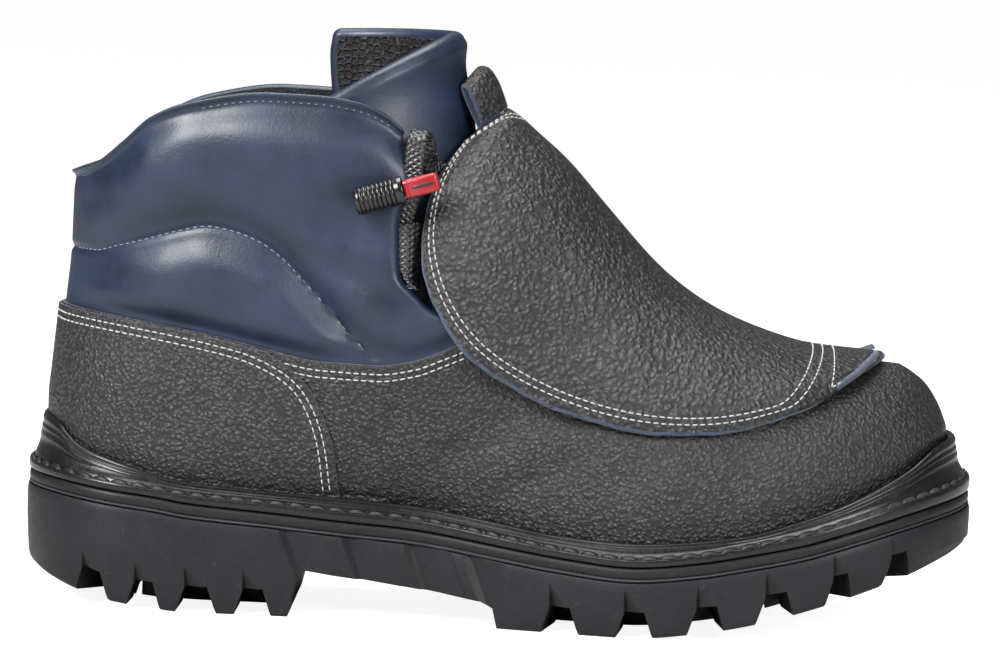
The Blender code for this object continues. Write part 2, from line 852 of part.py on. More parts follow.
def shaft_rows(top_row):
    """Rows of the shaft, over the rear columns of the leather's top row."""
    rows = []
    x_low = top_row[0][SHAFT_COLUMN:]
    for rise in SHAFT_LEVELS:
        low = topline(x_low[-1:])
        back = float(heel_back(low + (collar_rim(x_low[-1:]) - low) * rise)[0])
        front = LENGTH * float(along(np.array([rise]), SHAFT_FRONT, 1)[0])
        x = back + (front - back) * (x_low - x_low[-1]) / (x_low[0] - x_low[-1])
        rows.append((x, *shaft(x, rise, back)))
    return rows


def make_upper():
    lower = upper_rows()
    raised = shaft_rows(lower[-1])
    points = []
    relief = []
    numbers = {}

    def number(key, x, y, z, lift):
        if key not in numbers:
            numbers[key] = len(points)
            points.append((x - HEEL_REST, y, z))
            relief.append(lift)
        return numbers[key]

    def row_numbers(level, row, first, with_pads):
        x, half, z = row
        y0 = centre(x)
        lift = pad_relief(x, z) if with_pads else np.zeros_like(x)
        line = []
        last = len(x) - 1
        for side, order in ((-1, range(len(x))), (1, range(last - 1, -1, -1))):
            for i in order:
                shared = half[i] < 1e-6 or (first == 0 and i == 0)
                key = (level, i, 0 if shared or i == last else side)
                line.append(number(key, x[i], y0[i] + side * half[i], z[i], lift[i]))
        return line

    lines = [row_numbers(i, row, 0, False) for i, row in enumerate(lower)]
    upper_lines = [row_numbers(100 + i, row, SHAFT_COLUMN, True) for i, row in enumerate(raised)]
    faces = []
    for low, high in zip(lines[:-1], lines[1:]):
        faces += [(low[i], low[i + 1], high[i + 1], high[i]) for i in range(len(low) - 1)]
    base = lines[-1][SHAFT_COLUMN : len(lines[-1]) - SHAFT_COLUMN]
    for low, high in zip([base, *upper_lines[:-1]], upper_lines):
        faces += [(low[i], low[i + 1], high[i + 1], high[i]) for i in range(len(low) - 1)]
    faces = np.array(faces)
    points = np.array(points)
    normals = normals_of(points, faces)
    if np.mean(normals[:, 1] * (points[:, 1])) < 0:
        faces = faces[:, ::-1]
        normals = -normals
    outer = points + normals * np.array(relief)[:, None]
    inner = points - normals * WALL
    shell("upper", outer, inner, faces, (0.028, 0.034, 0.050), 0.45)


def vamp_section(x):
    """Half widths and heights of the leather at one station, from the lip to the crest."""
    q = np.linspace(0, 1, 60)
    front = float(toe_front(np.array([0.0]))[0])
    half, z = leather(np.full_like(q, x), q, float(heel_back(np.array([0.0]))[0]), front)
    return half, z


def vamp_height(x, distance):
    half, height = vamp_section(x)
    return float(np.interp(distance, half[::-1], height[::-1]))


# Tongue and guard


def arch(rows, columns, power):
    """Points of an arched sheet: a front or crest point and two edge points for each row."""
    angle = np.linspace(-np.pi / 2, np.pi / 2, columns)
    across = np.sign(angle) * np.abs(np.sin(angle)) ** (2 / power)
    drop = 1 - np.maximum(np.cos(angle), 0) ** (2 / power)
    points = []
    for crest, crest_z, edge, outer_z, inner_z, half in rows:
        x = crest + (edge - crest) * drop
        edge_z = np.where(angle < 0, outer_z, inner_z)
        z = crest_z + (edge_z - crest_z) * drop
        points.append(np.stack([x, centre(x) + half * across, z], axis=-1))
    return np.array(points)


def sheet(name, points, thickness, colour, roughness, bend=None, out=(0, 0, 1)):
    """Wall of one thickness behind a sheet whose face looks out, measured at its bend where it has one."""
    rows, columns = points.shape[:2]
    faces = grid_faces(rows, columns)
    flat = points.reshape(-1, 3) - np.array([HEEL_REST, 0, 0])
    normals = normals_of(flat, faces)
    seen = normals if bend is None else normals.reshape(points.shape)[bend].reshape(-1, 3)
    if np.mean(seen @ np.array(out)) < 0:
        faces = faces[:, ::-1]
        normals = -normals
    shell(name, flat, flat - normals * thickness, faces, colour, roughness)


def between(table, count):
    """Rows of a table read at even shares of its length."""
    place_of = np.linspace(0, 1, len(table))
    indexed = [(p, *row) for p, row in zip(place_of, table)]
    at = np.linspace(0, 1, count)
    return np.stack([along(at, indexed, c) for c in range(1, len(table[0]) + 1)], axis=1)


def tongue_points():
    scale = np.array([LENGTH, COLLAR_HEIGHT, LENGTH, COLLAR_HEIGHT, COLLAR_HEIGHT, BALL_WIDTH])
    return arch(between(TONGUE, TONGUE_ROWS) * scale, TONGUE_COLUMNS, TONGUE_POWER)


def make_tongue():
    sheet("tongue", tongue_points(), TONGUE_THICKNESS, (0.028, 0.034, 0.050), 0.45)


def guard_points():
    rows = []
    for crest, crest_z, edge, edge_z, half in between(GUARD, GUARD_ROWS):
        z = edge_z * COLLAR_HEIGHT
        rows.append((crest * LENGTH, crest_z * COLLAR_HEIGHT, edge * LENGTH, z, z, half * BALL_WIDTH))
    points = arch(rows, GUARD_COLUMNS, GUARD_POWER)
    clear = GAP + GUARD_THICKNESS * 1.12
    for point in points.reshape(-1, 3):
        if point[0] > 0.47 * LENGTH:
            distance = abs(point[1] - float(centre(np.array([point[0]]))[0]))
            point[2] = max(point[2], vamp_height(point[0], distance) + clear)
    return points


def make_guard():
    sheet("met_guard", guard_points(), GUARD_THICKNESS, (0.022, 0.023, 0.026), 0.42)


# Lace, its keepers, its lock and the pull loop


def surface_at(grid, along_share, across_share):
    """Point and unit normal of a grid of points at shares of its rows and columns."""
    rows, columns = grid.shape[:2]
    normals = normals_of(grid.reshape(-1, 3), grid_faces(rows, columns)).reshape(grid.shape)
    r = min(along_share * (rows - 1), rows - 1.001)
    c = min(across_share * (columns - 1), columns - 1.001)
    i, j = int(r), int(c)
    weights = ((i, j, (1 - r + i) * (1 - c + j)), (i + 1, j, (r - i) * (1 - c + j)))
    weights += ((i, j + 1, (1 - r + i) * (c - j)), (i + 1, j + 1, (r - i) * (c - j)))
    point = sum(grid[a, b] * w for a, b, w in weights)
    normal = sum(normals[a, b] * w for a, b, w in weights)
    return point, normal / np.linalg.norm(normal)


def smooth_route(rows, count=200):
    """Smooth curve through chosen rows, spaced by its own length: columns stay together."""
    rows = np.array(rows)
    step = np.linalg.norm(np.diff(rows[:, :3], axis=0), axis=1)
    reach = np.concatenate([[0], np.cumsum(step)])
    slope = np.gradient(rows, reach, axis=0)
    at = np.linspace(0, reach[-1], count)
    i = np.clip(np.searchsorted(reach, at, side="right") - 1, 0, len(step) - 1)
    t = ((at - reach[i]) / step[i])[:, None]
    span = step[i][:, None]
    return (
        (1 + 2 * t) * (1 - t) ** 2 * rows[i]
        + t * (1 - t) ** 2 * span * slope[i]
        + t * t * (3 - 2 * t) * rows[i + 1]
        - t * t * (1 - t) * span * slope[i + 1]
    )


def lengths_along(route):
    step = np.linalg.norm(np.diff(route[:, :3], axis=0), axis=1)
    return np.concatenate([[0], np.cumsum(step)])


def stretch(route, start, end, count):
    """Points of a route between two lengths along it."""
    reach = lengths_along(route)
    at = np.linspace(start, end, count)
    return np.stack([np.interp(at, reach, route[:, c]) for c in range(route.shape[1])], axis=1)


def strap(name, route, colour, roughness):
    """Flat lace along a route whose last three columns are the way its face looks."""
    path = route[:, :3]
    ahead = np.gradient(path, axis=0)
    ahead /= np.linalg.norm(ahead, axis=1)[:, None]
    face = route[:, 3:] - ahead * np.sum(route[:, 3:] * ahead, axis=1)[:, None]
    face /= np.linalg.norm(face, axis=1)[:, None]
    side = np.cross(ahead, face)
    edge = ((-1, -0.45), (-0.8, -1), (0.8, -1), (1, -0.45), (1, 0.45), (0.8, 1), (-0.8, 1), (-1, 0.45))
    rings = [
        np.array([p + s * w * LACE_WIDTH / 2 + f * h * LACE_THICKNESS / 2 for w, h in edge])
        for p, s, f in zip(path, side, face)
    ]
    return stacked(name, rings, colour, roughness)


def lace_route():
    """Whole lace: up from the outer keeper, over its loop, across the tongue, into the inner keeper."""
    scale = np.array([LENGTH, BALL_WIDTH, COLLAR_HEIGHT])
    rows = []
    for station, side, height, *face in LACE_LOOP:
        x, reach, z = np.array([station, side, height]) * scale
        rows.append((x - HEEL_REST, centre(x) - reach, z, *face))
    tongue = tongue_points() - np.array([HEEL_REST, 0, 0])
    for share, across in LACE_BAR:
        point, normal = surface_at(tongue, share, across)
        if normal[2] < 0:
            normal = -normal
        rows.append((*(point + normal * (LACE_THICKNESS / 2 + LACE_CLEARANCE)), *-normal))
    for station, side, height, *face in LACE_END:
        x, reach, z = np.array([station, side, height]) * scale
        rows.append((x - HEEL_REST, centre(x) + reach, z, *face))
    return smooth_route(rows)


def make_lace():
    route = lace_route()
    whole = lengths_along(route)[-1]
    strap("lace_loop", stretch(route, 0.0, LOOP_LENGTH, 20), (0.020, 0.020, 0.022), 0.6)
    strap("lace", stretch(route, LOOP_LENGTH + LACE_JOINT, whole, 24), (0.020, 0.020, 0.022), 0.6)


def make_keeper(name, way):
    """Webbing folded round the lace: one leg meets the shaft's front edge, the other lies inside it."""
    rows = []
    for height in np.linspace(KEEPER_TOP - KEEPER_HEIGHT, KEEPER_TOP, 4):
        base = topline(SHAFT_FRONT[0][1] * LENGTH)
        rise = (height - base) / (collar_rim(SHAFT_FRONT[-1][1] * LENGTH) - base)
        edge = float(along(rise, SHAFT_FRONT, 1)) + KEEPER_JOINT / LENGTH
        path = np.array([(edge, KEEPER[0][1]), *KEEPER[1:]])
        x = path[:, 0] * LENGTH
        y = centre(x) + way * path[:, 1] * BALL_WIDTH
        rows.append(np.stack([x, y, np.full_like(x, height)], axis=-1))
    fold = (slice(None), 3)
    grid = np.array(rows)
    sheet(name, grid, KEEPER_THICKNESS, (0.020, 0.020, 0.022), 0.6, bend=fold, out=(1, 0, 0))


def make_lock():
    """Spring lock on the lace: a ribbed barrel turned round its axis and a square push button."""
    ends = np.array([LOCK_BACK, LOCK_FRONT]) * np.array([LENGTH, COLLAR_HEIGHT])
    base = topline(ends[:, 0])
    rise = (ends[:, 1] - base) / (collar_rim(ends[:, 0]) - base)
    half, _ = shaft(ends[:, 0], rise, heel_back(ends[:, 1]))
    out = np.max(half + pad_relief(ends[:, 0], ends[:, 1])) + GAP + LOCK_RADIUS
    back = mathutils.Vector(place(ends[0, 0], centre(ends[0, 0]) - out, ends[0, 1]))
    front = mathutils.Vector(place(ends[1, 0], centre(ends[1, 0]) - out, ends[1, 1]))
    axis = (front - back).normalized()
    turn = axis.to_track_quat("Z", "Y").to_matrix().to_4x4()

    core = LOCK_RADIUS - RIB_DEPTH
    profile = [(0.0, LOCK_LENGTH), (core, LOCK_LENGTH)]
    pitch = (LOCK_LENGTH - LOCK_COLLAR - LOCK_RADIUS / 2) / RIBS
    for rib in range(RIBS):
        top = LOCK_LENGTH - LOCK_COLLAR - rib * pitch
        profile += [(core, top), (LOCK_RADIUS, top - pitch * 0.3), (LOCK_RADIUS, top - pitch * 0.7)]
    profile += [(core, LOCK_RADIUS / 2), (LOCK_RADIUS, LOCK_RADIUS / 3), (LOCK_RADIUS * 0.75, 0.0), (0.0, 0.0)]
    mesh = bpy.data.meshes.new("lace_lock_barrel")
    edges = [(i, i + 1) for i in range(len(profile) - 1)]
    mesh.from_pydata([(r, 0.0, z) for r, z in profile], edges, [])
    barrel = link("lace_lock_barrel", mesh, (0.010, 0.010, 0.011), 0.3)
    barrel.matrix_world = mathutils.Matrix.Translation(back) @ turn
    screw = barrel.modifiers.new("turned", "SCREW")
    screw.steps = screw.render_steps = LOCK_STEPS
    screw.use_merge_vertices = True
    screw.merge_threshold = 0.0001

    mesh = bpy.data.meshes.new("lace_lock_button")
    shape = bmesh.new()
    size = (BUTTON_HEIGHT, BUTTON_HEIGHT, BUTTON_LENGTH)
    bmesh.ops.create_cube(shape, size=1.0, matrix=mathutils.Matrix.Diagonal((*size, 1.0)))
    corner = BUTTON_HEIGHT / 5
    bmesh.ops.bevel(shape, geom=shape.edges, offset=corner, segments=2, profile=0.5, affect="EDGES")
    shape.to_mesh(mesh)
    shape.free()
    button = link("lace_lock_button", mesh, (0.55, 0.02, 0.03), 0.3)
    middle = back + axis * (LOCK_LENGTH + GAP + BUTTON_LENGTH / 2)
    button.matrix_world = mathutils.Matrix.Translation(middle) @ turn


def make_pull_loop():
    """Leather strip folded into a loop on the guard's top edge, its tail behind the guard."""
    guard = guard_points()
    across = np.linspace(LOOP_SPAN, 1 - LOOP_SPAN, 11)
    edge = np.array([surface_at(guard, 1.0, share)[0] for share in across])
    along_edge = np.gradient(edge, axis=0)
    size = LOOP_REACH_SIDE + (LOOP_REACH_CREST - LOOP_REACH_SIDE) * (1 - (2 * across - 1) ** 2)
    rows = []
    for reach, rise in PULL_LOOP:
        bow = LOOP_SPREAD * (2 * across - 1) ** 2
        lean = LOOP_LEAN + bow if reach > 0 else TAIL_LEAN + 0 * bow
        ahead = np.stack([-np.cos(lean), 0 * lean, np.sin(lean)], axis=1)
        face = np.cross(along_edge, ahead)
        face /= np.linalg.norm(face, axis=1)[:, None]
        face *= np.where(face[:, 2] < 0, -1, 1)[:, None]
        rows.append(edge + ahead * reach * size[:, None] + face * rise * LOOP_REACH_SIDE)
    grid = np.array(rows)
    sheet("pull_loop", grid, LOOP_THICKNESS, (0.018, 0.019, 0.022), 0.45, bend=4, out=(-1, 0, 1))


def clear_scene():
    for obj in list(bpy.data.objects):
        bpy.data.objects.remove(obj, do_unlink=True)


def collection(name):
    made = bpy.data.collections.new(name)
    bpy.context.scene.collection.children.link(made)
    return made


clear_scene()
BOOT = collection("metatarsal_guard_boot")
CUTTERS = collection("cutters")
make_outsole()
make_midsole()
make_welt()
make_insole()
make_upper()
make_tongue()
make_guard()
make_lace()
make_keeper("lace_keeper_outer", -1)
make_keeper("lace_keeper_inner", 1)
make_lock()
make_pull_loop()
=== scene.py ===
"""Looks of the metatarsal guard boot: a right boot, its outer side to the camera, toe to +X.

Each section below is one piece of the boot in the order it is put together: sole, midsole, welt, insole,
black leather, navy shaft, tongue, guard, pull loop, lace, keepers and lock. Sizes are in metres. In the
functions x is the distance from the back of the heel, and place() moves it to the shared frame.
"""

import math

import bmesh
import bpy
import mathutils
import numpy as np
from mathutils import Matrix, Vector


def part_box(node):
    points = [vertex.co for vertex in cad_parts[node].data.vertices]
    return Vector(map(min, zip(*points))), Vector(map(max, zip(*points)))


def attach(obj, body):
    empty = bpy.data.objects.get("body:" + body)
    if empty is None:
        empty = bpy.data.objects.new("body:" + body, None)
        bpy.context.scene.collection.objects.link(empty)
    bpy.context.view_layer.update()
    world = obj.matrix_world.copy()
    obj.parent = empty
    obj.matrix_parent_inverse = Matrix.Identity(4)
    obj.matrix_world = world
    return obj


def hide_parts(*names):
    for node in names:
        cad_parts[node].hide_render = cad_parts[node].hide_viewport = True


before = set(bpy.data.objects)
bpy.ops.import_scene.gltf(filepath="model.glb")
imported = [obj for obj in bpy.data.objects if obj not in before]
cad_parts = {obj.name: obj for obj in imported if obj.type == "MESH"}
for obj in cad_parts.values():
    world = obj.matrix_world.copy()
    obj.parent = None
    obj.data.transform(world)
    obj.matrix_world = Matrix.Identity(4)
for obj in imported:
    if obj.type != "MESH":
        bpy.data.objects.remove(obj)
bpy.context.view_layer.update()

# Studio: the photo's angle, seen through a long lens from a low stand, rolled a little. A seamless
# paper floor, a faint even light from the room and three soft square lamps give broad highlights.


def linear(code):
    """sRGB hex colour as linear red, green, blue and alpha."""
    parts = np.array([int(code[i : i + 2], 16) / 255 for i in (1, 3, 5)])
    parts = np.where(parts <= 0.04045, parts / 12.92, ((parts + 0.055) / 1.055) ** 2.4)
    return (*[float(part) for part in parts], 1.0)


def add(tree, kind, settings, inputs, output=0):
    """One output of a new node with its settings; an input is a value, or a socket linked to it."""
    node = tree.nodes.new(kind)
    for key, value in settings.items():
        setattr(node, key, value)
    for key, value in inputs.items():
        if isinstance(value, bpy.types.NodeSocket):
            tree.links.new(value, node.inputs[key])
        else:
            node.inputs[key].default_value = value
    return node.outputs[output]


def finish_of(name, colour, roughness, **more):
    """New material: its tree and its shader with plain starting values."""
    material = bpy.data.materials.new(name)
    material.use_nodes = True
    tree = material.node_tree
    shader = tree.nodes["Principled BSDF"]
    shader.inputs["Base Color"].default_value = linear(colour)
    shader.inputs["Roughness"].default_value = roughness
    for key, value in more.items():
        shader.inputs[key.replace("_", " ")].default_value = value
    return material, tree, shader


CAMERA_TURN = math.radians(1.0)
CAMERA_RISE = math.radians(5.187)
CAMERA_ROLL = math.radians(2.262)
CAMERA_DISTANCE = 1.3756
CAMERA_AIM = np.array([0.085, 0.0, 0.095])


def make_camera():
    """Its axes: behind = (sin turn cos rise, -cos turn cos rise, sin rise), level = (cos turn, sin turn, 0)
    and upright = behind x level, the last two turned about the first by the roll."""
    turn, rise, roll = CAMERA_TURN, CAMERA_RISE, CAMERA_ROLL
    behind = np.array([math.sin(turn) * math.cos(rise), -math.cos(turn) * math.cos(rise), math.sin(rise)])
    level = np.array([math.cos(turn), math.sin(turn), 0.0])
    upright = np.cross(behind, level)
    pose = np.eye(4)
    pose[:3, 0] = level * math.cos(roll) + upright * math.sin(roll)
    pose[:3, 1] = upright * math.cos(roll) - level * math.sin(roll)
    pose[:3, 2] = behind
    pose[:3, 3] = CAMERA_AIM + behind * CAMERA_DISTANCE
    data = bpy.data.cameras.new("photo_camera")
    data.lens = 150.2
    data.sensor_width = 36.0
    data.shift_x = -0.0028
    data.shift_y = -0.0106
    camera = bpy.data.objects.new("photo_camera", data)
    bpy.context.scene.collection.objects.link(camera)
    camera.matrix_world = mathutils.Matrix(pose.tolist())
    bpy.context.scene.camera = camera


LAMPS = (
    # name, x, y, z, size, watts
    ("key", -0.80, -1.05, 1.05, 0.70, 44.0),
    ("fill", 1.10, -1.15, 0.75, 0.60, 17.0),
    ("top", 0.00, 0.15, 1.35, 0.80, 19.0),
)
FLOOR_REACH = 90.0


def make_studio():
    """Lamps that look at the boot, the room's light, and the floor, which glows to the camera alone."""
    bpy.context.scene.view_settings.view_transform = "Standard"
    for name, x, y, z, size, watts in LAMPS:
        data = bpy.data.lights.new(name, "AREA")
        data.size = size
        data.energy = watts
        lamp = bpy.data.objects.new(name, data)
        bpy.context.scene.collection.objects.link(lamp)
        aim = mathutils.Vector(CAMERA_AIM) - mathutils.Vector((x, y, z))
        turned = aim.to_track_quat("-Z", "Y").to_matrix().to_4x4()
        lamp.matrix_world = mathutils.Matrix.Translation((x, y, z)) @ turned
    world = bpy.data.worlds.new("room")
    world.use_nodes = True
    world.node_tree.nodes["Background"].inputs["Color"].default_value = linear("#f4f5f7")
    world.node_tree.nodes["Background"].inputs["Strength"].default_value = 0.17
    bpy.context.scene.world = world
    mesh = bpy.data.meshes.new("floor")
    reach = FLOOR_REACH
    corners = [(-reach, -reach, 0.0), (reach, -reach, 0.0), (reach, reach, 0.0), (-reach, reach, 0.0)]
    mesh.from_pydata(corners, [], [(0, 1, 2, 3)])
    # Matt backdrop paper: an even grey under the lamps, lifted to near white where the camera sees it.
    paper, tree, shader = finish_of("matt_backdrop_paper", "#bebebe", 0.7, Emission_Color=linear("#ffffff"))
    seen = add(tree, "ShaderNodeLightPath", {}, {}, "Is Camera Ray")
    glow = add(tree, "ShaderNodeMath", {"operation": "MULTIPLY"}, {0: seen, 1: 0.90})
    tree.links.new(glow, shader.inputs["Emission Strength"])
    mesh.materials.append(paper)
    floor = bpy.data.objects.new("floor", mesh)
    bpy.context.scene.collection.objects.link(floor)


make_camera()
make_studio()

# Outsole: one moulding of near-black rubber, with square lugs, a raised waist and slanted side steps.
# It is a stack of rings round the foot, out of which plain cutters take the gaps, grooves and steps.


def rubber(name, dark, light, roughness, pore, corner, coat):
    """Moulded rubber: dark to light by a broad bloom, then greyed by dust. The dust's noise also raises
    the roughness and is the height of the pores, over corners that a bevel of that radius rounds."""
    material, tree, shader = finish_of(name, dark, roughness, Coat_Weight=coat, Coat_Roughness=0.3)
    shader.inputs["Specular IOR Level"].default_value = 0.3
    where = add(tree, "ShaderNodeTexCoord", {}, {}, "Object")
    blotches = {"Vector": where, "Scale": 1.0 / 0.018, "Detail": 4.0, "Roughness": 0.55}
    bloom = add(tree, "ShaderNodeTexNoise", {}, blotches)
    specks = {"Vector": where, "Scale": 1.0 / 0.0016, "Detail": 3.0, "Roughness": 0.7}
    dust = add(tree, "ShaderNodeTexNoise", {}, specks)
    share = add(tree, "ShaderNodeMapRange", {}, {"Value": bloom, "From Min": 0.35, "From Max": 0.7})
    tint = add(tree, "ShaderNodeMix", {"data_type": "RGBA"}, {0: share, 6: linear(dark), 7: linear(light)}, 2)
    dusting = {"Value": dust, "From Min": 0.60, "From Max": 0.80, "To Max": 0.14}
    share = add(tree, "ShaderNodeMapRange", {}, dusting)
    dusty = add(tree, "ShaderNodeMix", {"data_type": "RGBA"}, {0: share, 6: tint, 7: linear("#6a6c72")}, 2)
    tree.links.new(dusty, shader.inputs["Base Color"])
    dulling = {"Value": dust, "From Min": 0.3, "From Max": 0.7}
    dulling |= {"To Min": roughness - 0.08, "To Max": roughness + 0.12}
    tree.links.new(add(tree, "ShaderNodeMapRange", {}, dulling), shader.inputs["Roughness"])
    rounded = add(tree, "ShaderNodeBevel", {"samples": 6}, {"Radius": corner})
    relief = {"Height": dust, "Distance": pore, "Strength": 0.8, "Normal": rounded}
    tree.links.new(add(tree, "ShaderNodeBump", {}, relief), shader.inputs["Normal"])
    return material


def dress(node, material):
    """A solid of the frame shown as it is, in this material."""
    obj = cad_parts[node]
    obj.data.materials.clear()
    obj.data.materials.append(material)


LENGTH = 0.312
BALL_WIDTH = 0.112
SOLE_HEIGHT = 0.036
COLLAR_HEIGHT = 0.168
HEEL_REST = 0.070
GAP = 0.0003
HEEL_ROUND = 0.038
TOE_ROUND = 0.062

OUTLINE = (
    # station, centre, half
    (0.000, 0.000, 0.339),
    (0.160, -0.007, 0.348),
    (0.385, -0.032, 0.326),
    (0.545, -0.027, 0.411),
    (0.689, -0.004, 0.491),
    (0.801, 0.027, 0.482),
    (1.000, 0.080, 0.446),
)

SOLE_SIDE = (
    # station, bottom, top of the outsole, top of the welt's lip
    (0.000, 0.350, 1.014, 1.690),
    (0.032, 0.235, 1.000, 1.625),
    (0.064, 0.150, 0.972, 1.431),
    (0.099, 0.075, 0.939, 1.333),
    (0.147, 0.022, 0.894, 1.222),
    (0.178, 0.000, 0.853, 1.167),
    (0.272, 0.000, 0.794, 1.111),
    (0.337, 0.000, 0.750, 1.083),
    (0.417, 0.000, 0.703, 1.036),
    (0.503, 0.000, 0.611, 0.939),
    (0.567, 0.000, 0.542, 0.861),
    (0.635, 0.000, 0.500, 0.833),
    (0.705, 0.056, 0.556, 0.875),
    (0.760, 0.139, 0.639, 0.944),
    (0.814, 0.264, 0.736, 1.083),
    (0.865, 0.403, 0.861, 1.250),
    (0.923, 0.569, 1.000, 1.500),
    (0.962, 0.694, 1.078, 1.720),
    (1.000, 0.806, 1.139, 1.800),
)


def along(position, table, column, across=0):
    """Smooth curve through two columns of a table: cubic pieces that never overshoot a row."""
    rows = np.array(table)
    x = rows[:, across]
    y = rows[:, column]
    step = np.diff(x)
    slope = np.diff(y) / step
    turn = slope[1:] * slope[:-1] > 0
    middle = np.where(turn, 2 * slope[1:] * slope[:-1] / np.where(turn, slope[1:] + slope[:-1], 1), 0)
    tangent = np.concatenate([slope[:1], middle, slope[-1:]])
    position = np.clip(position, x[0], x[-1])
    i = np.clip(np.searchsorted(x, position, side="right") - 1, 0, len(step) - 1)
    t = (position - x[i]) / step[i]
    return (
        (1 + 2 * t) * (1 - t) ** 2 * y[i]
        + t * (1 - t) ** 2 * step[i] * tangent[i]
        + t * t * (3 - 2 * t) * y[i + 1]
        - t * t * (1 - t) * step[i] * tangent[i + 1]
    )


def place(x, y, z):
    """Points of the shared frame, whose origin stands HEEL_REST in front of the back of the heel."""
    return np.stack(np.broadcast_arrays(x - HEEL_REST, y, z), axis=-1)


def centre(x):
    """The sole's centre line, read from OUTLINE, as y."""
    return BALL_WIDTH * along(x / LENGTH, OUTLINE, 1)


def sole_half(x, inset=0.0):
    """Half width of the sole, read from OUTLINE, less an inset."""
    return BALL_WIDTH * along(x / LENGTH, OUTLINE, 2) - inset


def sole_bottom(x):
    """Height of the tread, read from SOLE_SIDE: up at the heel's back and over the toe spring."""
    return SOLE_HEIGHT * along(x / LENGTH, SOLE_SIDE, 1)


def sole_top(x):
    """Height of the outsole's top, read from SOLE_SIDE."""
    return SOLE_HEIGHT * along(x / LENGTH, SOLE_SIDE, 2)


def lip_top(x):
    """Height of the welt's upper lip, read from SOLE_SIDE."""
    return SOLE_HEIGHT * along(x / LENGTH, SOLE_SIDE, 3)


def rounding(x, back, front):
    """Share of the half width left near the round ends: sqrt(1 - h^2) at the heel, power 2.2 at the toe."""
    heel = np.clip(1 - (x - back) / HEEL_ROUND, 0, 1)
    toe = np.clip(1 - (front - x) / TOE_ROUND, 0, 1)
    return np.sqrt(1 - heel**2) * (1 - toe**2.2) ** (1 / 2.2)


def spread(count):
    """Shares from toe to heel, close together at both round ends: (1 + cos) / 2."""
    return (1 + np.cos(np.pi * np.arange(count + 1) / count)) / 2


def around(back, front, inset, columns=180):
    """x and y of closed loops round the foot, one per inset: outer side to the heel, inner side back."""
    back, front, inset = [np.asarray(value, float)[:, None] for value in (back, front, inset)]
    x = back + (front - back) * spread(columns)
    half = sole_half(x, inset) * rounding(x, back, front)
    y = np.concatenate([centre(x) - half, (centre(x) + half)[:, -2:0:-1]], axis=1)
    return np.concatenate([x, x[:, -2:0:-1]], axis=1), y


def grid_faces(rows, columns, wrap_rows=False, wrap_columns=False):
    """Quads of a grid of rows by columns numbered row by row, closed either way round."""
    index = np.arange(rows * columns).reshape(rows, columns)
    index = np.vstack([index, index[:1]]) if wrap_rows else index
    index = np.hstack([index, index[:, :1]]) if wrap_columns else index
    corners = [index[:-1, :-1], index[:-1, 1:], index[1:, 1:], index[1:, :-1]]
    return np.stack(corners, axis=-1).reshape(-1, 4)


MERGE_DISTANCE = 0.000004
SHARP_CORNER = math.radians(42)


def build(name, points, faces, materials, kinds=None, replaces=(), uv=None):
    """Piece of the boot: doubles merged, faces turned outwards by the sign of the sum of middle times normal,
    smooth but for the sharp corners; the solids that it takes the place of are hidden."""
    mesh = bpy.data.meshes.new(name)
    mesh.from_pydata(points.reshape(-1, 3).tolist(), [], faces.tolist())
    for material in materials:
        mesh.materials.append(material)
    if kinds is not None:
        mesh.polygons.foreach_set("material_index", np.asarray(kinds, np.int32))
    if uv is not None:
        layer = mesh.uv_layers.new(name="UVMap")
        corners = np.empty(len(mesh.loops), np.int32)
        mesh.loops.foreach_get("vertex_index", corners)
        layer.data.foreach_set("uv", uv.reshape(-1, 2)[corners].ravel())
    shape = bmesh.new()
    shape.from_mesh(mesh)
    bmesh.ops.remove_doubles(shape, verts=shape.verts, dist=MERGE_DISTANCE)
    bmesh.ops.recalc_face_normals(shape, faces=shape.faces)
    shape.to_mesh(mesh)
    shape.free()
    count = len(mesh.polygons)
    middle, way, area = np.empty(count * 3), np.empty(count * 3), np.empty(count)
    mesh.polygons.foreach_get("center", middle)
    mesh.polygons.foreach_get("normal", way)
    mesh.polygons.foreach_get("area", area)
    middle = middle.reshape(-1, 3) - np.average(middle.reshape(-1, 3), axis=0, weights=area)
    if np.sum(middle * way.reshape(-1, 3) * area[:, None]) < 0:
        mesh.flip_normals()
    mesh.shade_smooth()
    mesh.set_sharp_from_angle(angle=SHARP_CORNER)
    obj = bpy.data.objects.new(name, mesh)
    bpy.context.scene.collection.objects.link(obj)
    if replaces:
        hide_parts(*replaces)
    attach(obj, "root")
    return obj


def unit(vectors):
    """Vectors divided by their lengths."""
    return vectors / np.maximum(np.linalg.norm(vectors, axis=-1, keepdims=True), 1e-12)


# Nitrile rubber from a steel mould: near-black with a cold tint, matt, corners 0.6 mm round, and a
# pale bloom of dust. Real pores are under 0.2 mm; they are drawn 1.6 mm wide so that they show.
OUTSOLE_RUBBER = rubber("moulded_outsole_rubber", "#111215", "#1a1b1e", 0.52, 0.00010, 0.0006, 0.08)

LUG_DEPTH = 0.0088
LUG_REACH = 0.0255
CHANNEL_WIDTH = 0.0045
CHANNEL_DEPTH = 0.0062
RECESS_RISE = 0.0088
RECESS_DEPTH = 0.0030
STEP_DEPTH = 0.0022
STEP_RISE = 0.0026
STEP_RUN = 0.0155
CUT_CLEAR = 0.006
GAP_OUT = 0.008
RECESS_SHARE = 0.62
RECESS_DROP = 0.0015
RECESS_TAIL = 1.1
RECESS_OUT = 0.004
STEP_OVER = 0.15
STEP_UNDER = 0.25
CHANNEL_OVERLAP = 0.0015
CUT_CORNER = math.radians(24)

# Section of a gap between lugs: share of its half width, height over the tread
GAP_SECTION = ((1.35, -0.004), (1.0, 0.0), (0.58, LUG_DEPTH))

# Section of a groove across the tread: half width, height over the tread
GROOVE_SECTION = ((0.0032, -CUT_CLEAR), (0.0022, CHANNEL_DEPTH - 0.0006))

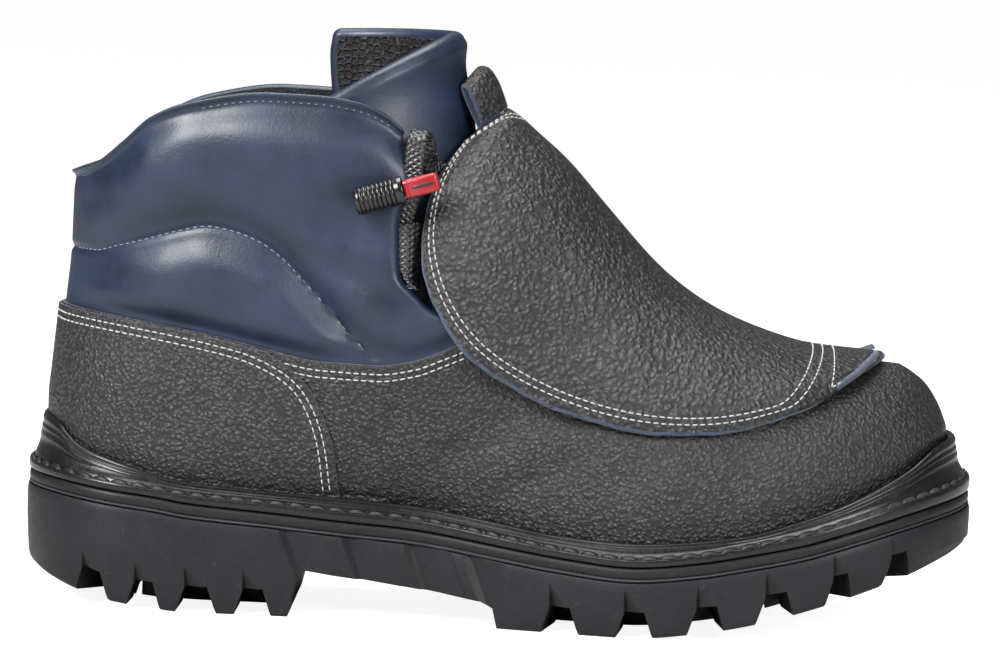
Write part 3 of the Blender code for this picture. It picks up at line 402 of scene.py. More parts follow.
# Stack of the outsole's rings: inset in metres, height above the bottom or, where negative, below the top
OUTSOLE_RINGS = (
    # inset, height
    (0.0022, 0.0001),
    (0.0012, 0.0008),
    (0.0008, 0.0024),
    (0.0001, -0.0100),
    (0.0000, -0.0030),
    (0.0001, -0.0012),
    (0.0004, -0.0001),
)

WAIST = (
    # station, height
    (0.285, -0.10),
    (0.299, 0.430),
    (0.360, 0.370),
    (0.426, 0.310),
    (0.487, 0.240),
    (0.500, 0.180),
    (0.508, -0.10),
)

# Gaps between the lugs, then the grooves across the tread, as shares of LENGTH
LUG_GAPS = (
    # start, end
    (0.064, 0.099),
    (0.122, 0.154),
    (0.173, 0.212),
    (0.234, 0.269),
    (0.551, 0.587),
    (0.628, 0.663),
    (0.702, 0.737),
    (0.772, 0.808),
    (0.843, 0.869),
    (0.901, 0.933),
)
CROSS_GROOVES = (0.128, 0.600, 0.688, 0.775, 0.850)

# Slanted steps in the side of the waist
WAIST_STEPS = (
    # top_station, top, bottom_station, bottom
    (0.269, 0.86, 0.297, 0.37),
    (0.333, 0.84, 0.361, 0.35),
    (0.397, 0.80, 0.427, 0.28),
    (0.458, 0.74, 0.489, 0.20),
)


def edge_frame(x, side):
    """Point of the sole's edge on the ground, the way inwards and the way to the toe."""
    ends = np.array([x - 0.001, x, x + 0.001])
    y = centre(ends) + side * sole_half(ends) * rounding(ends, 0.0, LENGTH)
    forward = unit(np.array([ends[2] - ends[0], y[2] - y[0], 0.0]))
    inward = side * np.array([forward[1], -forward[0], 0.0])
    return place(ends[1], y[1], 0.0), inward, forward


def lug_gap(start, end, side):
    """Tapered slot from the edge inwards, wide at the ground and narrow at its roof."""
    x = (start + end) / 2 * LENGTH
    edge, inward, forward = edge_frame(x, side)
    low = (end - start) / 2 * LENGTH
    slope = float(sole_bottom(x + low) - sole_bottom(x - low)) / 2
    points = []
    for depth in (-GAP_OUT, LUG_REACH):
        for share, z in GAP_SECTION:
            width = low * share
            for way in (-1, 1):
                lift = np.array([0, 0, float(sole_bottom(x)) + z + way * slope * width / low])
                points.append(edge + inward * depth + forward * way * width + lift)
    return points


def lug_recess(start, end, side):
    """Hollow facet above a gap: deepest at its heel side, running out at its toe side."""
    x = (start + end) / 2 * LENGTH
    edge, inward, forward = edge_frame(x, side)
    reach = (end - start) / 2 * LENGTH * RECESS_SHARE
    roof = float(sole_bottom(x)) + LUG_DEPTH - RECESS_DROP
    deep = edge - forward * reach + inward * RECESS_DEPTH + np.array([0, 0, roof])
    apex = edge - forward * reach + np.array([0, 0, roof + RECESS_RISE])
    out = edge + forward * reach * RECESS_TAIL + np.array([0, 0, roof])
    margin = inward * -RECESS_OUT
    return [deep, apex, out, deep + margin * 2, apex + margin, out + margin]


# Section of a step: run towards the toe, depth into the wall
STEP_SECTION = ((0, -CUT_CLEAR), (0, 0), (STEP_RISE, STEP_DEPTH), (STEP_RUN, -GAP), (STEP_RUN, -CUT_CLEAR))


def waist_step(top_station, top, bottom_station, bottom, side):
    """Slanted saw-tooth cut in the side wall: steep behind, running out towards the toe."""
    points = []
    ends = ((top_station, top, STEP_OVER), (bottom_station, bottom, -STEP_UNDER))
    for station, height, reach in ends:
        station += (top_station - bottom_station) * reach
        edge, inward, forward = edge_frame(station * LENGTH, side)
        lift = np.array([0, 0, (height + reach) * SOLE_HEIGHT])
        points += [edge + forward * run + inward * depth + lift for run, depth in STEP_SECTION]
    return points


def groove(station, side_reach):
    """Straight groove across the tread, its section drawn from side to side."""
    x = station * LENGTH
    half = float(sole_half(x)) - side_reach
    return [
        place(x + way * width, float(centre(x)) + side * half, float(sole_bottom(x)) + height)
        for width, height in GROOVE_SECTION
        for way in (-1, 1)
        for side in (-1, 1)
    ]


def hull_cutter(groups):
    """One cutter mesh of several convex bodies, each the hull of its points."""
    mesh = bpy.data.meshes.new("cutter")
    shape = bmesh.new()
    for points in groups:
        bmesh.ops.convex_hull(shape, input=[shape.verts.new(tuple(point)) for point in points])
    spare = [corner for corner in shape.verts if not corner.link_faces]
    bmesh.ops.delete(shape, geom=spare, context="VERTS")
    bmesh.ops.recalc_face_normals(shape, faces=shape.faces)
    shape.to_mesh(mesh)
    shape.free()
    return mesh


def carve(obj, cutters):
    """Takes the cutters out of the object for good, and removes them."""
    made = [bpy.data.objects.new("cutter", mesh) for mesh in cutters]
    for cutter in made:
        bpy.context.scene.collection.objects.link(cutter)
        modifier = obj.modifiers.new("cut", "BOOLEAN")
        modifier.operation = "DIFFERENCE"
        modifier.object = cutter
        modifier.use_self = True
    bpy.context.view_layer.update()
    graph = bpy.context.evaluated_depsgraph_get()
    carved = bpy.data.meshes.new_from_object(obj.evaluated_get(graph))
    obj.modifiers.clear()
    obj.data = carved
    for cutter in made:
        bpy.data.objects.remove(cutter, do_unlink=True)
    carved.shade_smooth()
    carved.set_sharp_from_angle(angle=CUT_CORNER)


def make_outsole():
    """Rings of OUTSOLE_RINGS round the foot, closed top and bottom, less the waist under the arch, the
    channel round the tread, the gaps, the grooves, the recesses and the steps."""
    table = np.array(OUTSOLE_RINGS)
    table = np.concatenate([table[:1], table, table[-1:]])
    x, y = around(table[:, 0], LENGTH - table[:, 0], table[:, 0])
    height = table[:, 1:2]
    z = np.where(height > 0, sole_bottom(x), sole_top(x)) + height
    y[0], y[-1] = centre(x[0]), centre(x[-1])
    faces = grid_faces(*x.shape, wrap_columns=True)
    points = place(x, y, z)
    outsole = build("lugged_outsole", points, faces, [OUTSOLE_RUBBER], None, ["outsole"])
    waist = [place(s * LENGTH, side * BALL_WIDTH, h * SOLE_HEIGHT) for side in (-1, 1) for s, h in WAIST]
    reach = LUG_REACH - CHANNEL_OVERLAP
    insets = np.array([reach, reach, reach + CHANNEL_WIDTH, reach + CHANNEL_WIDTH])
    x, y = around(insets, LENGTH - insets, insets, 60)
    z = sole_bottom(x) + np.array([-CUT_CLEAR, CHANNEL_DEPTH, CHANNEL_DEPTH, -CUT_CLEAR])[:, None]
    channel = bpy.data.meshes.new("cutter")
    faces = grid_faces(*x.shape, wrap_rows=True, wrap_columns=True)
    channel.from_pydata(place(x, y, z).reshape(-1, 3).tolist(), [], faces.tolist())
    shape = bmesh.new()
    shape.from_mesh(channel)
    bmesh.ops.remove_doubles(shape, verts=shape.verts, dist=MERGE_DISTANCE)
    bmesh.ops.recalc_face_normals(shape, faces=shape.faces)
    shape.to_mesh(channel)
    shape.free()
    sides = (-1, 1)
    cutters = [hull_cutter([waist]), channel]
    cutters.append(hull_cutter([lug_gap(*row, side) for row in LUG_GAPS for side in sides]))
    cutters.append(hull_cutter([groove(station, reach + CHANNEL_OVERLAP) for station in CROSS_GROOVES]))
    cutters.append(hull_cutter([lug_recess(*row, side) for row in LUG_GAPS for side in sides]))
    cutters.append(hull_cutter([waist_step(*row, side) for row in WAIST_STEPS for side in sides]))
    carve(outsole, cutters)


make_outsole()

# Midsole: a thin brownish-black rubber layer between outsole and welt, with a pale line along its
# lower edge where the cement shows. It is swept round the outline of the sole.

MIDSOLE_HEIGHT = 0.0045

# Section of the midsole: inset from the sole's edge in metres, then share of its height
MIDSOLE_SECTION = (
    # inset, rise
    (0.0130, 0.00),
    (0.0014, 0.00),
    (0.0009, 0.03),
    (0.0006, 0.10),
    (0.0006, 0.16),
    (0.0011, 0.19),
    (0.0012, 0.23),
    (0.0009, 0.27),
    (0.0007, 0.36),
    (0.0006, 0.55),
    (0.0007, 0.78),
    (0.0010, 0.92),
    (0.0016, 0.99),
    (0.0130, 1.00),
)
MIDSOLE_LINE = (1, 6)

# Rubber sheet, pressed and ground flush: a warmer black than the outsole, with a slight sheen.
MIDSOLE_RUBBER = rubber("pressed_midsole_rubber", "#0f0e0e", "#161413", 0.5, 0.00006, 0.0002, 0.1)
# Rubber cement, brushed on and dried: a dull grey line where it was pressed out of the joint.
CEMENT_LINE = rubber("dried_rubber_cement", "#333438", "#414248", 0.6, 0.00006, 0.0002, 0.0)


def make_midsole():
    """MIDSOLE_SECTION carried round the sole's outline, its rise counted from the outsole's top."""
    section = np.array(MIDSOLE_SECTION)
    x, y = around(section[:, 0], LENGTH - section[:, 0], section[:, 0])
    z = sole_top(x) + GAP / 2 + (MIDSOLE_HEIGHT + GAP / 2) * section[:, 1:2]
    faces = grid_faces(*x.shape, wrap_rows=True, wrap_columns=True)
    row = faces.min(axis=1) // x.shape[1]
    kinds = (row >= MIDSOLE_LINE[0]) & (row < MIDSOLE_LINE[1] - 1)
    materials = [MIDSOLE_RUBBER, CEMENT_LINE]
    build("midsole_layer", place(x, y, z), faces, materials, kinds, ["midsole"])


make_midsole()

# Storm welt: black rubber strip stitched through the sole. From the leather out it has a bead that
# seals against it, a ridged flank, a groove with the chain stitch in it, and a round band below.

WELT_INSET = 0.0004
FOOT_INSET = 0.0066

WELT_GROOVE = (
    # station, groove above the seat as a share of SOLE_HEIGHT
    (0.000, 0.085),
    (0.135, 0.070),
    (0.250, 0.080),
    (0.417, 0.090),
    (0.561, 0.072),
    (0.705, 0.066),
    (0.814, 0.088),
    (0.923, 0.115),
    (1.000, 0.130),
)

# Section: share of the way out to the sole's edge, rise from the seat (0) by the groove (1) to the lip (2)
WELT_SECTION = (
    # out, rise
    (0.05, 0.00),
    (0.05, 1.95),
    (0.09, 2.00),
    (0.17, 2.03),
    (0.26, 2.02),
    (0.34, 1.97),
    (0.385, 1.90),
    (0.39, 1.84),
    (0.37, 1.79),
    (0.40, 1.75),
    (0.43, 1.72),
    (0.435, 1.69),
    (0.425, 1.66),
    (0.46, 1.60),
    (0.49, 1.54),
    (0.49, 1.50),
    (0.48, 1.46),
    (0.53, 1.36),
    (0.59, 1.27),
    (0.66, 1.19),
    (0.72, 1.12),
    (0.74, 1.04),
    (0.76, 0.96),
    (0.82, 0.90),
    (0.87, 0.92),
    (0.90, 0.98),
    (0.935, 0.98),
    (0.965, 0.93),
    (0.99, 0.82),
    (1.00, 0.62),
    (1.00, 0.36),
    (0.985, 0.14),
    (0.95, 0.03),
    (0.90, 0.00),
)

CHAIN_PITCH = 0.0064
CHAIN_LENGTH = 0.0068
CHAIN_WIDTH = 0.0021
CHAIN_HEIGHT = 0.0018
CHAIN_TILT = 0.16

HEEL_BACK = (
    # height, station
    (0.000, 0.0225),
    (0.385, 0.0225),
    (0.446, 0.0250),
    (0.577, 0.0308),
    (0.690, 0.0353),
    (0.786, 0.0359),
    (0.833, 0.0385),
    (1.000, 0.0450),
)

TOE_FRONT = (
    # height, station
    (0.000, 0.9710),
    (0.385, 0.9710),
    (0.405, 0.9680),
    (0.445, 0.9590),
    (0.480, 0.9460),
    (0.500, 0.9300),
    (0.516, 0.9060),
)


def heel_back(z):
    """Station of the upper's back at a height, read from HEEL_BACK."""
    return LENGTH * along(z / COLLAR_HEIGHT, HEEL_BACK, 1)


def toe_front(z):
    """Station of the upper's front at a height, read from TOE_FRONT."""
    return LENGTH * along(z / COLLAR_HEIGHT, TOE_FRONT, 1)


FOOT_BACK = float(heel_back(0.0))
FOOT_FRONT = float(toe_front(0.0))


def welt_points(out, rise, columns=180):
    """Points at shares out from the leather's foot to the sole's edge, at rises of the section."""
    out = np.asarray(out, float)
    foot = [[value] * len(out) for value in (FOOT_BACK, FOOT_FRONT, FOOT_INSET)]
    x0, y0 = around(*foot, columns)
    edge = [WELT_INSET] * len(out)
    x1, y1 = around(edge, LENGTH - np.array(edge), edge, columns)
    x = x0 + (x1 - x0) * out[:, None]
    y = y0 + (y1 - y0) * out[:, None]
    seat = sole_top(x) + MIDSOLE_HEIGHT + 2 * GAP
    groove = seat + SOLE_HEIGHT * along(x / LENGTH, WELT_GROOVE, 1)
    rise = np.asarray(rise, float)[:, None]
    z = seat + (groove - seat) * np.minimum(rise, 1) + (lip_top(x) - groove) * np.maximum(rise - 1, 0)
    return place(x, y, z)


def run_of(path):
    """Length along a path up to each of its points."""
    return np.concatenate([[0], np.cumsum(np.linalg.norm(np.diff(path, axis=0), axis=1))])


def at_lengths(path, values, lengths):
    """Values that go with a path's points, read at lengths along it."""
    run = run_of(path)
    return np.stack([np.interp(lengths, run, values[:, c]) for c in range(values.shape[1])], axis=1)


def threads(name, paths, pitch, length, width, height, material, slot, tilt=0.0):
    """Row of stitches on each (path, out): capsules r = sqrt(1 - u^4) whose ends sink into the surface."""
    u = np.array([-1.0, -0.8, -0.4, 0.0, 0.4, 0.8, 1.0])[None, :, None, None]
    turn = (np.arange(6) * np.pi / 3)[None, None, :, None]
    bodies = []
    for path, out in paths:
        total = run_of(path)[-1]
        count = max(int(total / pitch), 1)
        at = (np.arange(count) + 0.5) * total / count
        middle = at_lengths(path, path, at)
        ahead = unit(at_lengths(path, path, at + pitch / 3) - at_lengths(path, path, at - pitch / 3))
        up = at_lengths(path, out, at)
        up = unit(up - ahead * np.sum(up * ahead, axis=1, keepdims=True))
        side = np.cross(ahead, up)
        ahead = unit(ahead + side * tilt)
        side = np.cross(ahead, up)
        middle, ahead, up, side = [value[:, None, None, :] for value in (middle, ahead, up, side)]
        radius = np.sqrt(np.maximum(1 - u**4, 0))
        ring = side * np.cos(turn) * width / 2 + up * np.sin(turn) * height / 2
        sink = up * height * (0.22 - 0.42 * u**2)
        bodies.append(middle + ahead * u * length / 2 + ring * radius + sink)
    points = np.concatenate(bodies)
    count, rings, sides = points.shape[:3]
    faces = grid_faces(rings, sides, wrap_columns=True)
    faces = (faces[None] + np.arange(count)[:, None, None] * rings * sides).reshape(-1, 4)
    return build(name, points, faces, [material])


def thread_finish(name, colour, roughness):
    """Twisted thread: a sine wave over x + y + z, a turn of ply each 0.7 mm, is the height of the bump."""
    material, tree, shader = finish_of(name, colour, roughness)
    where = add(tree, "ShaderNodeTexCoord", {}, {}, "Object")
    bands = {"Vector": where, "Scale": 900.0, "Distortion": 2.0}
    ply = add(tree, "ShaderNodeTexWave", {"bands_direction": "DIAGONAL"}, bands, "Fac")
    normal = add(tree, "ShaderNodeBump", {}, {"Height": ply, "Distance": 0.00008, "Strength": 0.6})
    tree.links.new(normal, shader.inputs["Normal"])
    return material


# Nitrile and PVC rubber, extruded through a die: black, smooth along its length, with a wet-looking shine.
WELT_RUBBER = rubber("extruded_welt_rubber", "#0c0c0e", "#151517", 0.28, 0.00004, 0.0002, 0.35)
# Twisted polyester cord, drawn through wax: black, half dull, its ply catching a little light.
BLACK_THREAD = thread_finish("waxed_black_polyester_cord", "#0c0c0d", 0.5)


def make_welt():
    """WELT_SECTION carried round the foot, and the chain stitch laid in its groove."""
    section = np.array(WELT_SECTION)
    points = welt_points(section[:, 0], section[:, 1])
    faces = grid_faces(*points.shape[:2], wrap_rows=True, wrap_columns=True)
    build("welt_strip", points, faces, [WELT_RUBBER], None, ["storm_welt"])
    low, high = welt_points([0.80, 0.84], [0.97, 1.12])
    path = np.concatenate([low, low[:1]])
    out = np.concatenate([high, high[:1]]) - path + np.array([0, 0, 0.0010])
    sizes = (CHAIN_PITCH, CHAIN_LENGTH, CHAIN_WIDTH, CHAIN_HEIGHT)
    threads("welt_chain_stitch", [(path, out)], *sizes, BLACK_THREAD, "welt_rubber", CHAIN_TILT)


make_welt()

# Insole: a thin board covered with dark knitted cloth, laid loose inside the boot. The CAD solid
# is shown as it is, in its cloth.


def cloth_finish(name, dark, light, cell, depth, roughness):
    """Knitted cloth: one round loop a cell, by the distance to the cell's edge. The rim of a loop stands
    up, and takes the light colour where a noise flecks it."""
    material, tree, shader = finish_of(name, dark, roughness)
    where = add(tree, "ShaderNodeTexCoord", {}, {}, "Object")
    loops = {"Vector": where, "Scale": 1.0 / cell, "Randomness": 0.55}
    inside = add(tree, "ShaderNodeTexVoronoi", {"feature": "DISTANCE_TO_EDGE"}, loops, "Distance")
    flecks = {"Vector": where, "Scale": 1.0 / (cell * 0.7), "Detail": 2.0, "Roughness": 0.55}
    fleck = add(tree, "ShaderNodeTexNoise", {}, flecks)
    edge = {"Value": inside, "From Min": 0.0, "From Max": 0.22, "To Min": 1.0, "To Max": 0.0}
    rim = add(tree, "ShaderNodeMapRange", {}, edge)
    pale = add(tree, "ShaderNodeMapRange", {}, {"Value": fleck, "From Min": 0.45, "From Max": 0.7})
    share = add(tree, "ShaderNodeMath", {"operation": "MULTIPLY"}, {0: rim, 1: pale})
    tint = add(tree, "ShaderNodeMix", {"data_type": "RGBA"}, {0: share, 6: linear(dark), 7: linear(light)}, 2)
    tree.links.new(tint, shader.inputs["Base Color"])
    normal = add(tree, "ShaderNodeBump", {}, {"Height": rim, "Distance": depth, "Strength": 1.0})
    tree.links.new(normal, shader.inputs["Normal"])
    return material


# Polyester jersey, knitted and glued to the board: dull dark grey. Its loops are 0.6 mm wide, drawn
# twice as coarse so that they show.
INSOLE_CLOTH = cloth_finish("knitted_insole_jersey", "#2a2b2f", "#55575d", 0.0012, 0.0003, 0.9)
dress("insole", INSOLE_CLOTH)

# Black leather: the vamp runs round the whole foot, lasted down behind the welt's bead. It is
# pebbled full-grain leather, semi-gloss, lined with dark cloth; its cut top edge is bluish grey.

DOME_POWER = 2.4
BULGE = 0.0022
LEATHER_START = 0.0012

TOPLINE = (
    # station, height, half
    (0.000, 0.580, 0.272),
    (0.112, 0.560, 0.286),
    (0.179, 0.542, 0.300),
    (0.247, 0.518, 0.316),
    (0.314, 0.496, 0.332),
    (0.372, 0.494, 0.348),
    (0.410, 0.506, 0.360),
    (0.442, 0.530, 0.366),
    (0.468, 0.551, 0.364),
    (0.513, 0.583, 0.321),
    (0.561, 0.598, 0.241),
    (0.609, 0.595, 0.134),
    (0.638, 0.588, 0.062),
    (0.651, 0.583, 0.000),
    (0.712, 0.557, 0.000),
    (0.769, 0.539, 0.000),
    (0.808, 0.529, 0.000),
    (0.840, 0.523, 0.000),
    (0.881, 0.518, 0.000),
    (0.906, 0.514, 0.000),
    (1.000, 0.505, 0.000),
)

# Creases in the black leather: a soft trough along a line, or a ridge where its depth is negative
VAMP_CREASES = (
    # station, height, station, height, width, depth
    (0.440, 0.300, 0.520, 0.420, 0.0050, 0.0011),
    (0.470, 0.260, 0.560, 0.385, 0.0045, -0.0007),
    (0.510, 0.245, 0.590, 0.350, 0.0045, 0.0010),
    (0.600, 0.215, 0.660, 0.370, 0.0055, 0.0009),
    (0.660, 0.215, 0.700, 0.360, 0.0050, -0.0006),
    (0.740, 0.235, 0.760, 0.380, 0.0060, 0.0008),
    (0.360, 0.270, 0.400, 0.460, 0.0050, 0.0008),
    (0.860, 0.320, 0.900, 0.440, 0.0070, 0.0006),
    (0.120, 0.330, 0.190, 0.420, 0.0070, 0.0006),
    (0.070, 0.400, 0.160, 0.500, 0.0060, -0.0005),
)


def ease(t):
    """Smooth share t^2 (3 - 2t), held at 0 and 1 beyond its ends."""
    t = np.clip(t, 0, 1)
    return t * t * (3 - 2 * t)


def topline(x):
    """Height of the black leather's top edge, read from TOPLINE."""
    return COLLAR_HEIGHT * along(x / LENGTH, TOPLINE, 1)


def troughs(x, z, table):
    """Depth of the listed creases: exp(-(gap / width)^2), fading to nothing at both ends."""
    total = np.zeros(np.broadcast(x, z).shape)
    for x0, z0, x1, z1, width, depth in table:
        start = np.array([x0 * LENGTH, z0 * COLLAR_HEIGHT])
        way = np.array([x1 * LENGTH, z1 * COLLAR_HEIGHT]) - start
        t = np.clip(((x - start[0]) * way[0] + (z - start[1]) * way[1]) / np.sum(way**2), 0, 1)
        gap = np.hypot(x - start[0] - t * way[0], z - start[1] - t * way[1])
        total += depth * np.exp(-((gap / width) ** 2)) * np.sin(np.pi * np.clip(t, 0.02, 0.98)) ** 0.7
    return total


def side_section(x, q):
    """Rise and width shares at level q: a straight wall at the heel, a round dome over the toe."""
    dome = ease((x / LENGTH - 0.36) / 0.29)
    angle = q * np.pi / 2
    rise = (1 - dome) * q + dome * np.sin(angle) ** (2 / DOME_POWER)
    width = (1 - dome) * (1 - q) + dome * np.maximum(np.cos(angle), 0) ** (2 / DOME_POWER)
    return rise, width


def leather(x, q, back, front):
    """Half width and height of the black leather at level q, from the lip up to its top edge."""
    rise, width = side_section(x, q)
    low = lip_top(x) + LEATHER_START
    top_half = BALL_WIDTH * along(x / LENGTH, TOPLINE, 2)
    half = top_half + (sole_half(x, FOOT_INSET) - top_half) * width
    half = half + BULGE * np.sin(np.pi * np.clip(rise, 0, 1) ** 0.6) * np.minimum(1, half / 0.02)
    return half * rounding(x, back, front), low + (topline(x) - low) * rise


def leather_ends(q):
    """Back of the heel and front of the toe at level q."""
    ends = []
    for end, edge in ((0.03 * LENGTH, heel_back), (0.96 * LENGTH, toe_front)):
        low = lip_top(end) + LEATHER_START
        ends.append(edge(low + (topline(end) - low) * side_section(np.array(end), q)[0]))
    return ends


def on_leather(x, z, side, lift=0.0):
    """Points and unit normals of the black leather where the side view shows x and z."""

    def surface(x, z):
        """Point at x and z: the level is halved 26 times until its height is z."""
        low, high = np.zeros_like(x), np.ones_like(x)
        foot = lip_top(x) + LEATHER_START
        for _ in range(26):
            q = (low + high) / 2
            under = foot + (topline(x) - foot) * side_section(x, q)[0] < z
            low, high = np.where(under, q, low), np.where(under, high, q)
        back, front = leather_ends(q)
        half, _ = leather(x, q, back, front)
        return place(x, centre(x) + side * half, z)

    step = 0.0004
    points = surface(x, z)
    run = surface(x + step, z) - surface(x - step, z)
    climb = surface(x, z + step) - surface(x, z - step)
    out = unit(np.cross(run, climb))
    out = np.where(out[:, 1:2] * side < 0, -out, out)
    depth = troughs(x, z, VAMP_CREASES)[:, None]
    return points + out * (lift - depth), out


def grained(name, dark, light, cell, depth, roughness, coat):
    """Pebbled leather: round cells of that size, pulled about by a noise, stand up as soft domes; a wrinkle
    finer than a dome is added to them. Their crowns take the light colour as a painted highlight and shine,
    their valleys are painted near black as shade and are dull, and a noise 14 cells wide swells the hide
    under the bump."""
    material, tree, shader = finish_of(name, dark, roughness, Coat_Weight=coat, Coat_Roughness=0.30)
    where = add(tree, "ShaderNodeTexCoord", {}, {}, "Object")
    pulls = {"Vector": where, "Scale": 0.45 / cell, "Detail": 3.0}
    pull = add(tree, "ShaderNodeTexNoise", {}, pulls, "Color")
    reach = (cell * 1.5, cell * 1.5, cell * 1.5)
    shift = add(tree, "ShaderNodeVectorMath", {"operation": "MULTIPLY_ADD"}, {0: pull, 1: reach, 2: where})
    pebbles = {"Vector": shift, "Scale": 1.0 / cell, "Smoothness": 0.35, "Randomness": 1.0}
    cells = add(tree, "ShaderNodeTexVoronoi", {"feature": "SMOOTH_F1"}, pebbles, "Distance")
    rounded = {"Value": cells, "From Min": 0.05, "From Max": 0.70, "To Min": 1.0, "To Max": 0.0}
    dome = add(tree, "ShaderNodeMapRange", {}, rounded)
    wrinkles = {"Vector": shift, "Scale": 1.0 / (cell * 0.55), "Detail": 4.0, "Roughness": 0.6}
    wrinkle = add(tree, "ShaderNodeTexNoise", {}, wrinkles)
    swells = {"Vector": where, "Scale": 1.0 / (cell * 14), "Detail": 3.0, "Roughness": 0.55}
    swell = add(tree, "ShaderNodeTexNoise", {}, swells)
    height = add(tree, "ShaderNodeMath", {"operation": "MULTIPLY_ADD"}, {0: wrinkle, 1: 0.9, 2: dome})
    relief = add(tree, "ShaderNodeMath", {"operation": "MULTIPLY_ADD"}, {0: swell, 1: 1.2, 2: height})
    # Painted highlight: the crowns of the pebbles take the light colour.
    painted_crown_highlight = add(tree, "ShaderNodeMapRange", {}, {"Value": height, "From Min": 0.70, "From Max": 1.15})
    tint = add(tree, "ShaderNodeMix", {"data_type": "RGBA"}, {0: painted_crown_highlight, 6: linear(dark), 7: linear(light)}, 2)
    # Painted shade: the valleys between the pebbles turn near black.
    low = {"Value": height, "From Min": 0.60, "From Max": 0.85, "To Min": 0.95, "To Max": 0.0}
    painted_valley_shade = add(tree, "ShaderNodeMapRange", {}, low)
    deep = add(tree, "ShaderNodeMix", {"data_type": "RGBA"}, {0: painted_valley_shade, 6: tint, 7: linear("#020203")}, 2)
    tree.links.new(deep, shader.inputs["Base Color"])
    shine = {"Value": height, "From Min": 0.5, "From Max": 1.2}
    shine |= {"To Min": roughness + 0.18, "To Max": roughness - 0.04}
    tree.links.new(add(tree, "ShaderNodeMapRange", {}, shine), shader.inputs["Roughness"])
    normal = add(tree, "ShaderNodeBump", {}, {"Height": relief, "Distance": depth, "Strength": 1.0})
    tree.links.new(normal, shader.inputs["Normal"])
    tree.links.new(normal, shader.inputs["Coat Normal"])
    return material


def suede(name, colour, pale):
    """Cut edge of leather: fibres times their clumps give the share of the pale colour, and the fibres
    alone stand up in the bump."""
    material, tree, shader = finish_of(name, colour, 0.95, Sheen_Weight=0.25)
    where = add(tree, "ShaderNodeTexCoord", {}, {}, "Object")
    fibres = {"Vector": where, "Scale": 1.0 / 0.0004, "Detail": 5.0, "Roughness": 0.75}
    fibre = add(tree, "ShaderNodeTexNoise", {}, fibres)
    clumps = {"Vector": where, "Scale": 1.0 / 0.0022, "Detail": 3.0, "Roughness": 0.6}
    clump = add(tree, "ShaderNodeTexNoise", {}, clumps)
    nap = add(tree, "ShaderNodeMath", {"operation": "MULTIPLY"}, {0: fibre, 1: clump})
    share = add(tree, "ShaderNodeMapRange", {}, {"Value": nap, "From Min": 0.16, "From Max": 0.38})
    colours = {0: share, 6: linear(colour), 7: linear(pale)}
    tint = add(tree, "ShaderNodeMix", {"data_type": "RGBA"}, colours, 2)
    tree.links.new(tint, shader.inputs["Base Color"])
    normal = add(tree, "ShaderNodeBump", {}, {"Height": fibre, "Distance": 0.0004, "Strength": 1.0})
    tree.links.new(normal, shader.inputs["Normal"])
    return material


# Full-grain cowhide, tumbled until it pebbles and sprayed with a clear finish: black, half glossy, each
# pebble with its own small light, helped by a painted highlight on its crown and painted shade in its
# valleys. Pebbles of about 1 mm are drawn 1.35 mm wide so that they show.
BLACK_LEATHER = grained("black_full_grain_cowhide", "#0b0b0d", "#2a2a2c", 0.00135, 0.00042, 0.37, 0.16)
# Polyester jersey, knitted: nearly black and dull, its loops drawn twice as coarse as the real 0.7 mm.
LINING_CLOTH = cloth_finish("knitted_lining_jersey", "#131417", "#34363b", 0.0014, 0.0003, 0.9)
# Chrome-tanned hide where the knife went through it: bluish grey, furry and without any gloss. A
# fibre is under 0.1 mm, and the tufts are drawn 0.4 mm wide.
CUT_EDGE = suede("cut_leather_edge", "#1e2738", "#3d4a63")
# Twisted polyester sewing thread: off-white, its ply a fine slant that breaks the light.
WHITE_THREAD = thread_finish("white_polyester_thread", "#b5b5ae", 0.6)
LEATHER_THICKNESS = 0.0016


def make_vamp():
    """Rings of the leather() surface at even levels, over one ring behind the welt's bead, less the creases;
    a modifier gives the hide its thickness inwards."""
    q = np.linspace(0, 1, 46)[:, None]
    back, front = leather_ends(q)
    x = back + (front - back) * spread(150)
    half, z = leather(x, q, back, front)
    foot_x, foot_y = around([FOOT_BACK], [FOOT_FRONT], [FOOT_INSET], 150)
    foot = place(foot_x, foot_y, sole_top(foot_x) + MIDSOLE_HEIGHT + 2 * GAP)
    outer_side, inner_side = place(x, centre(x) - half, z), place(x, centre(x) + half, z)
    points = np.concatenate([outer_side, inner_side[:, -2:0:-1]], axis=1)
    station = np.concatenate([x, x[:, -2:0:-1]], axis=1)
    depth = troughs(station, points[..., 2], VAMP_CREASES)
    inward = unit(np.stack([0 * station, centre(station) - points[..., 1], 0 * station], axis=-1))
    fade = np.minimum(1, q * 8) * np.minimum(1, (1.0 - q) * 6)
    points = points + inward * (depth * fade)[..., None]
    points = np.concatenate([foot, points])
    faces = grid_faces(*points.shape[:2], wrap_columns=True)
    materials = [BLACK_LEATHER, LINING_CLOTH, CUT_EDGE]
    vamp = build("black_vamp", points, faces, materials, None, ["upper"])
    thick = vamp.modifiers.new("leather thickness", "SOLIDIFY")
    thick.thickness = LEATHER_THICKNESS
    thick.offset = -1.0
    thick.material_offset = 1
    thick.material_offset_rim = 2


make_vamp()

# Counter: a second layer of the same leather round the heel, its front edge curving down to the welt.
# Two rows of white thread follow its edge, and two more the top edge of the vamp in front of it.

COUNTER_LIFT = 0.0011
COUNTER_EDGE = (
    # height, station of the front edge
    (0.230, 0.338),
    (0.250, 0.336),
    (0.333, 0.330),
    (0.393, 0.3205),
    (0.440, 0.3077),
    (0.476, 0.2917),
    (0.503, 0.2660),
    (0.512, 0.2480),
)
STITCH_ROWS = (0.0028, 0.0050)
HEEL_STITCH_END = 0.013

# Pitch, length, width and height of the white stitches
STITCH = (0.0025, 0.0020, 0.00046, 0.0006)


def smoothed(path, passes=12):
    """Path with its corners relaxed: each pass moves a point halfway to the middle of its neighbours."""
    for _ in range(passes):
        path = np.concatenate([path[:1], path[1:-1] / 2 + (path[:-2] + path[2:]) / 4, path[-1:]])
    return path


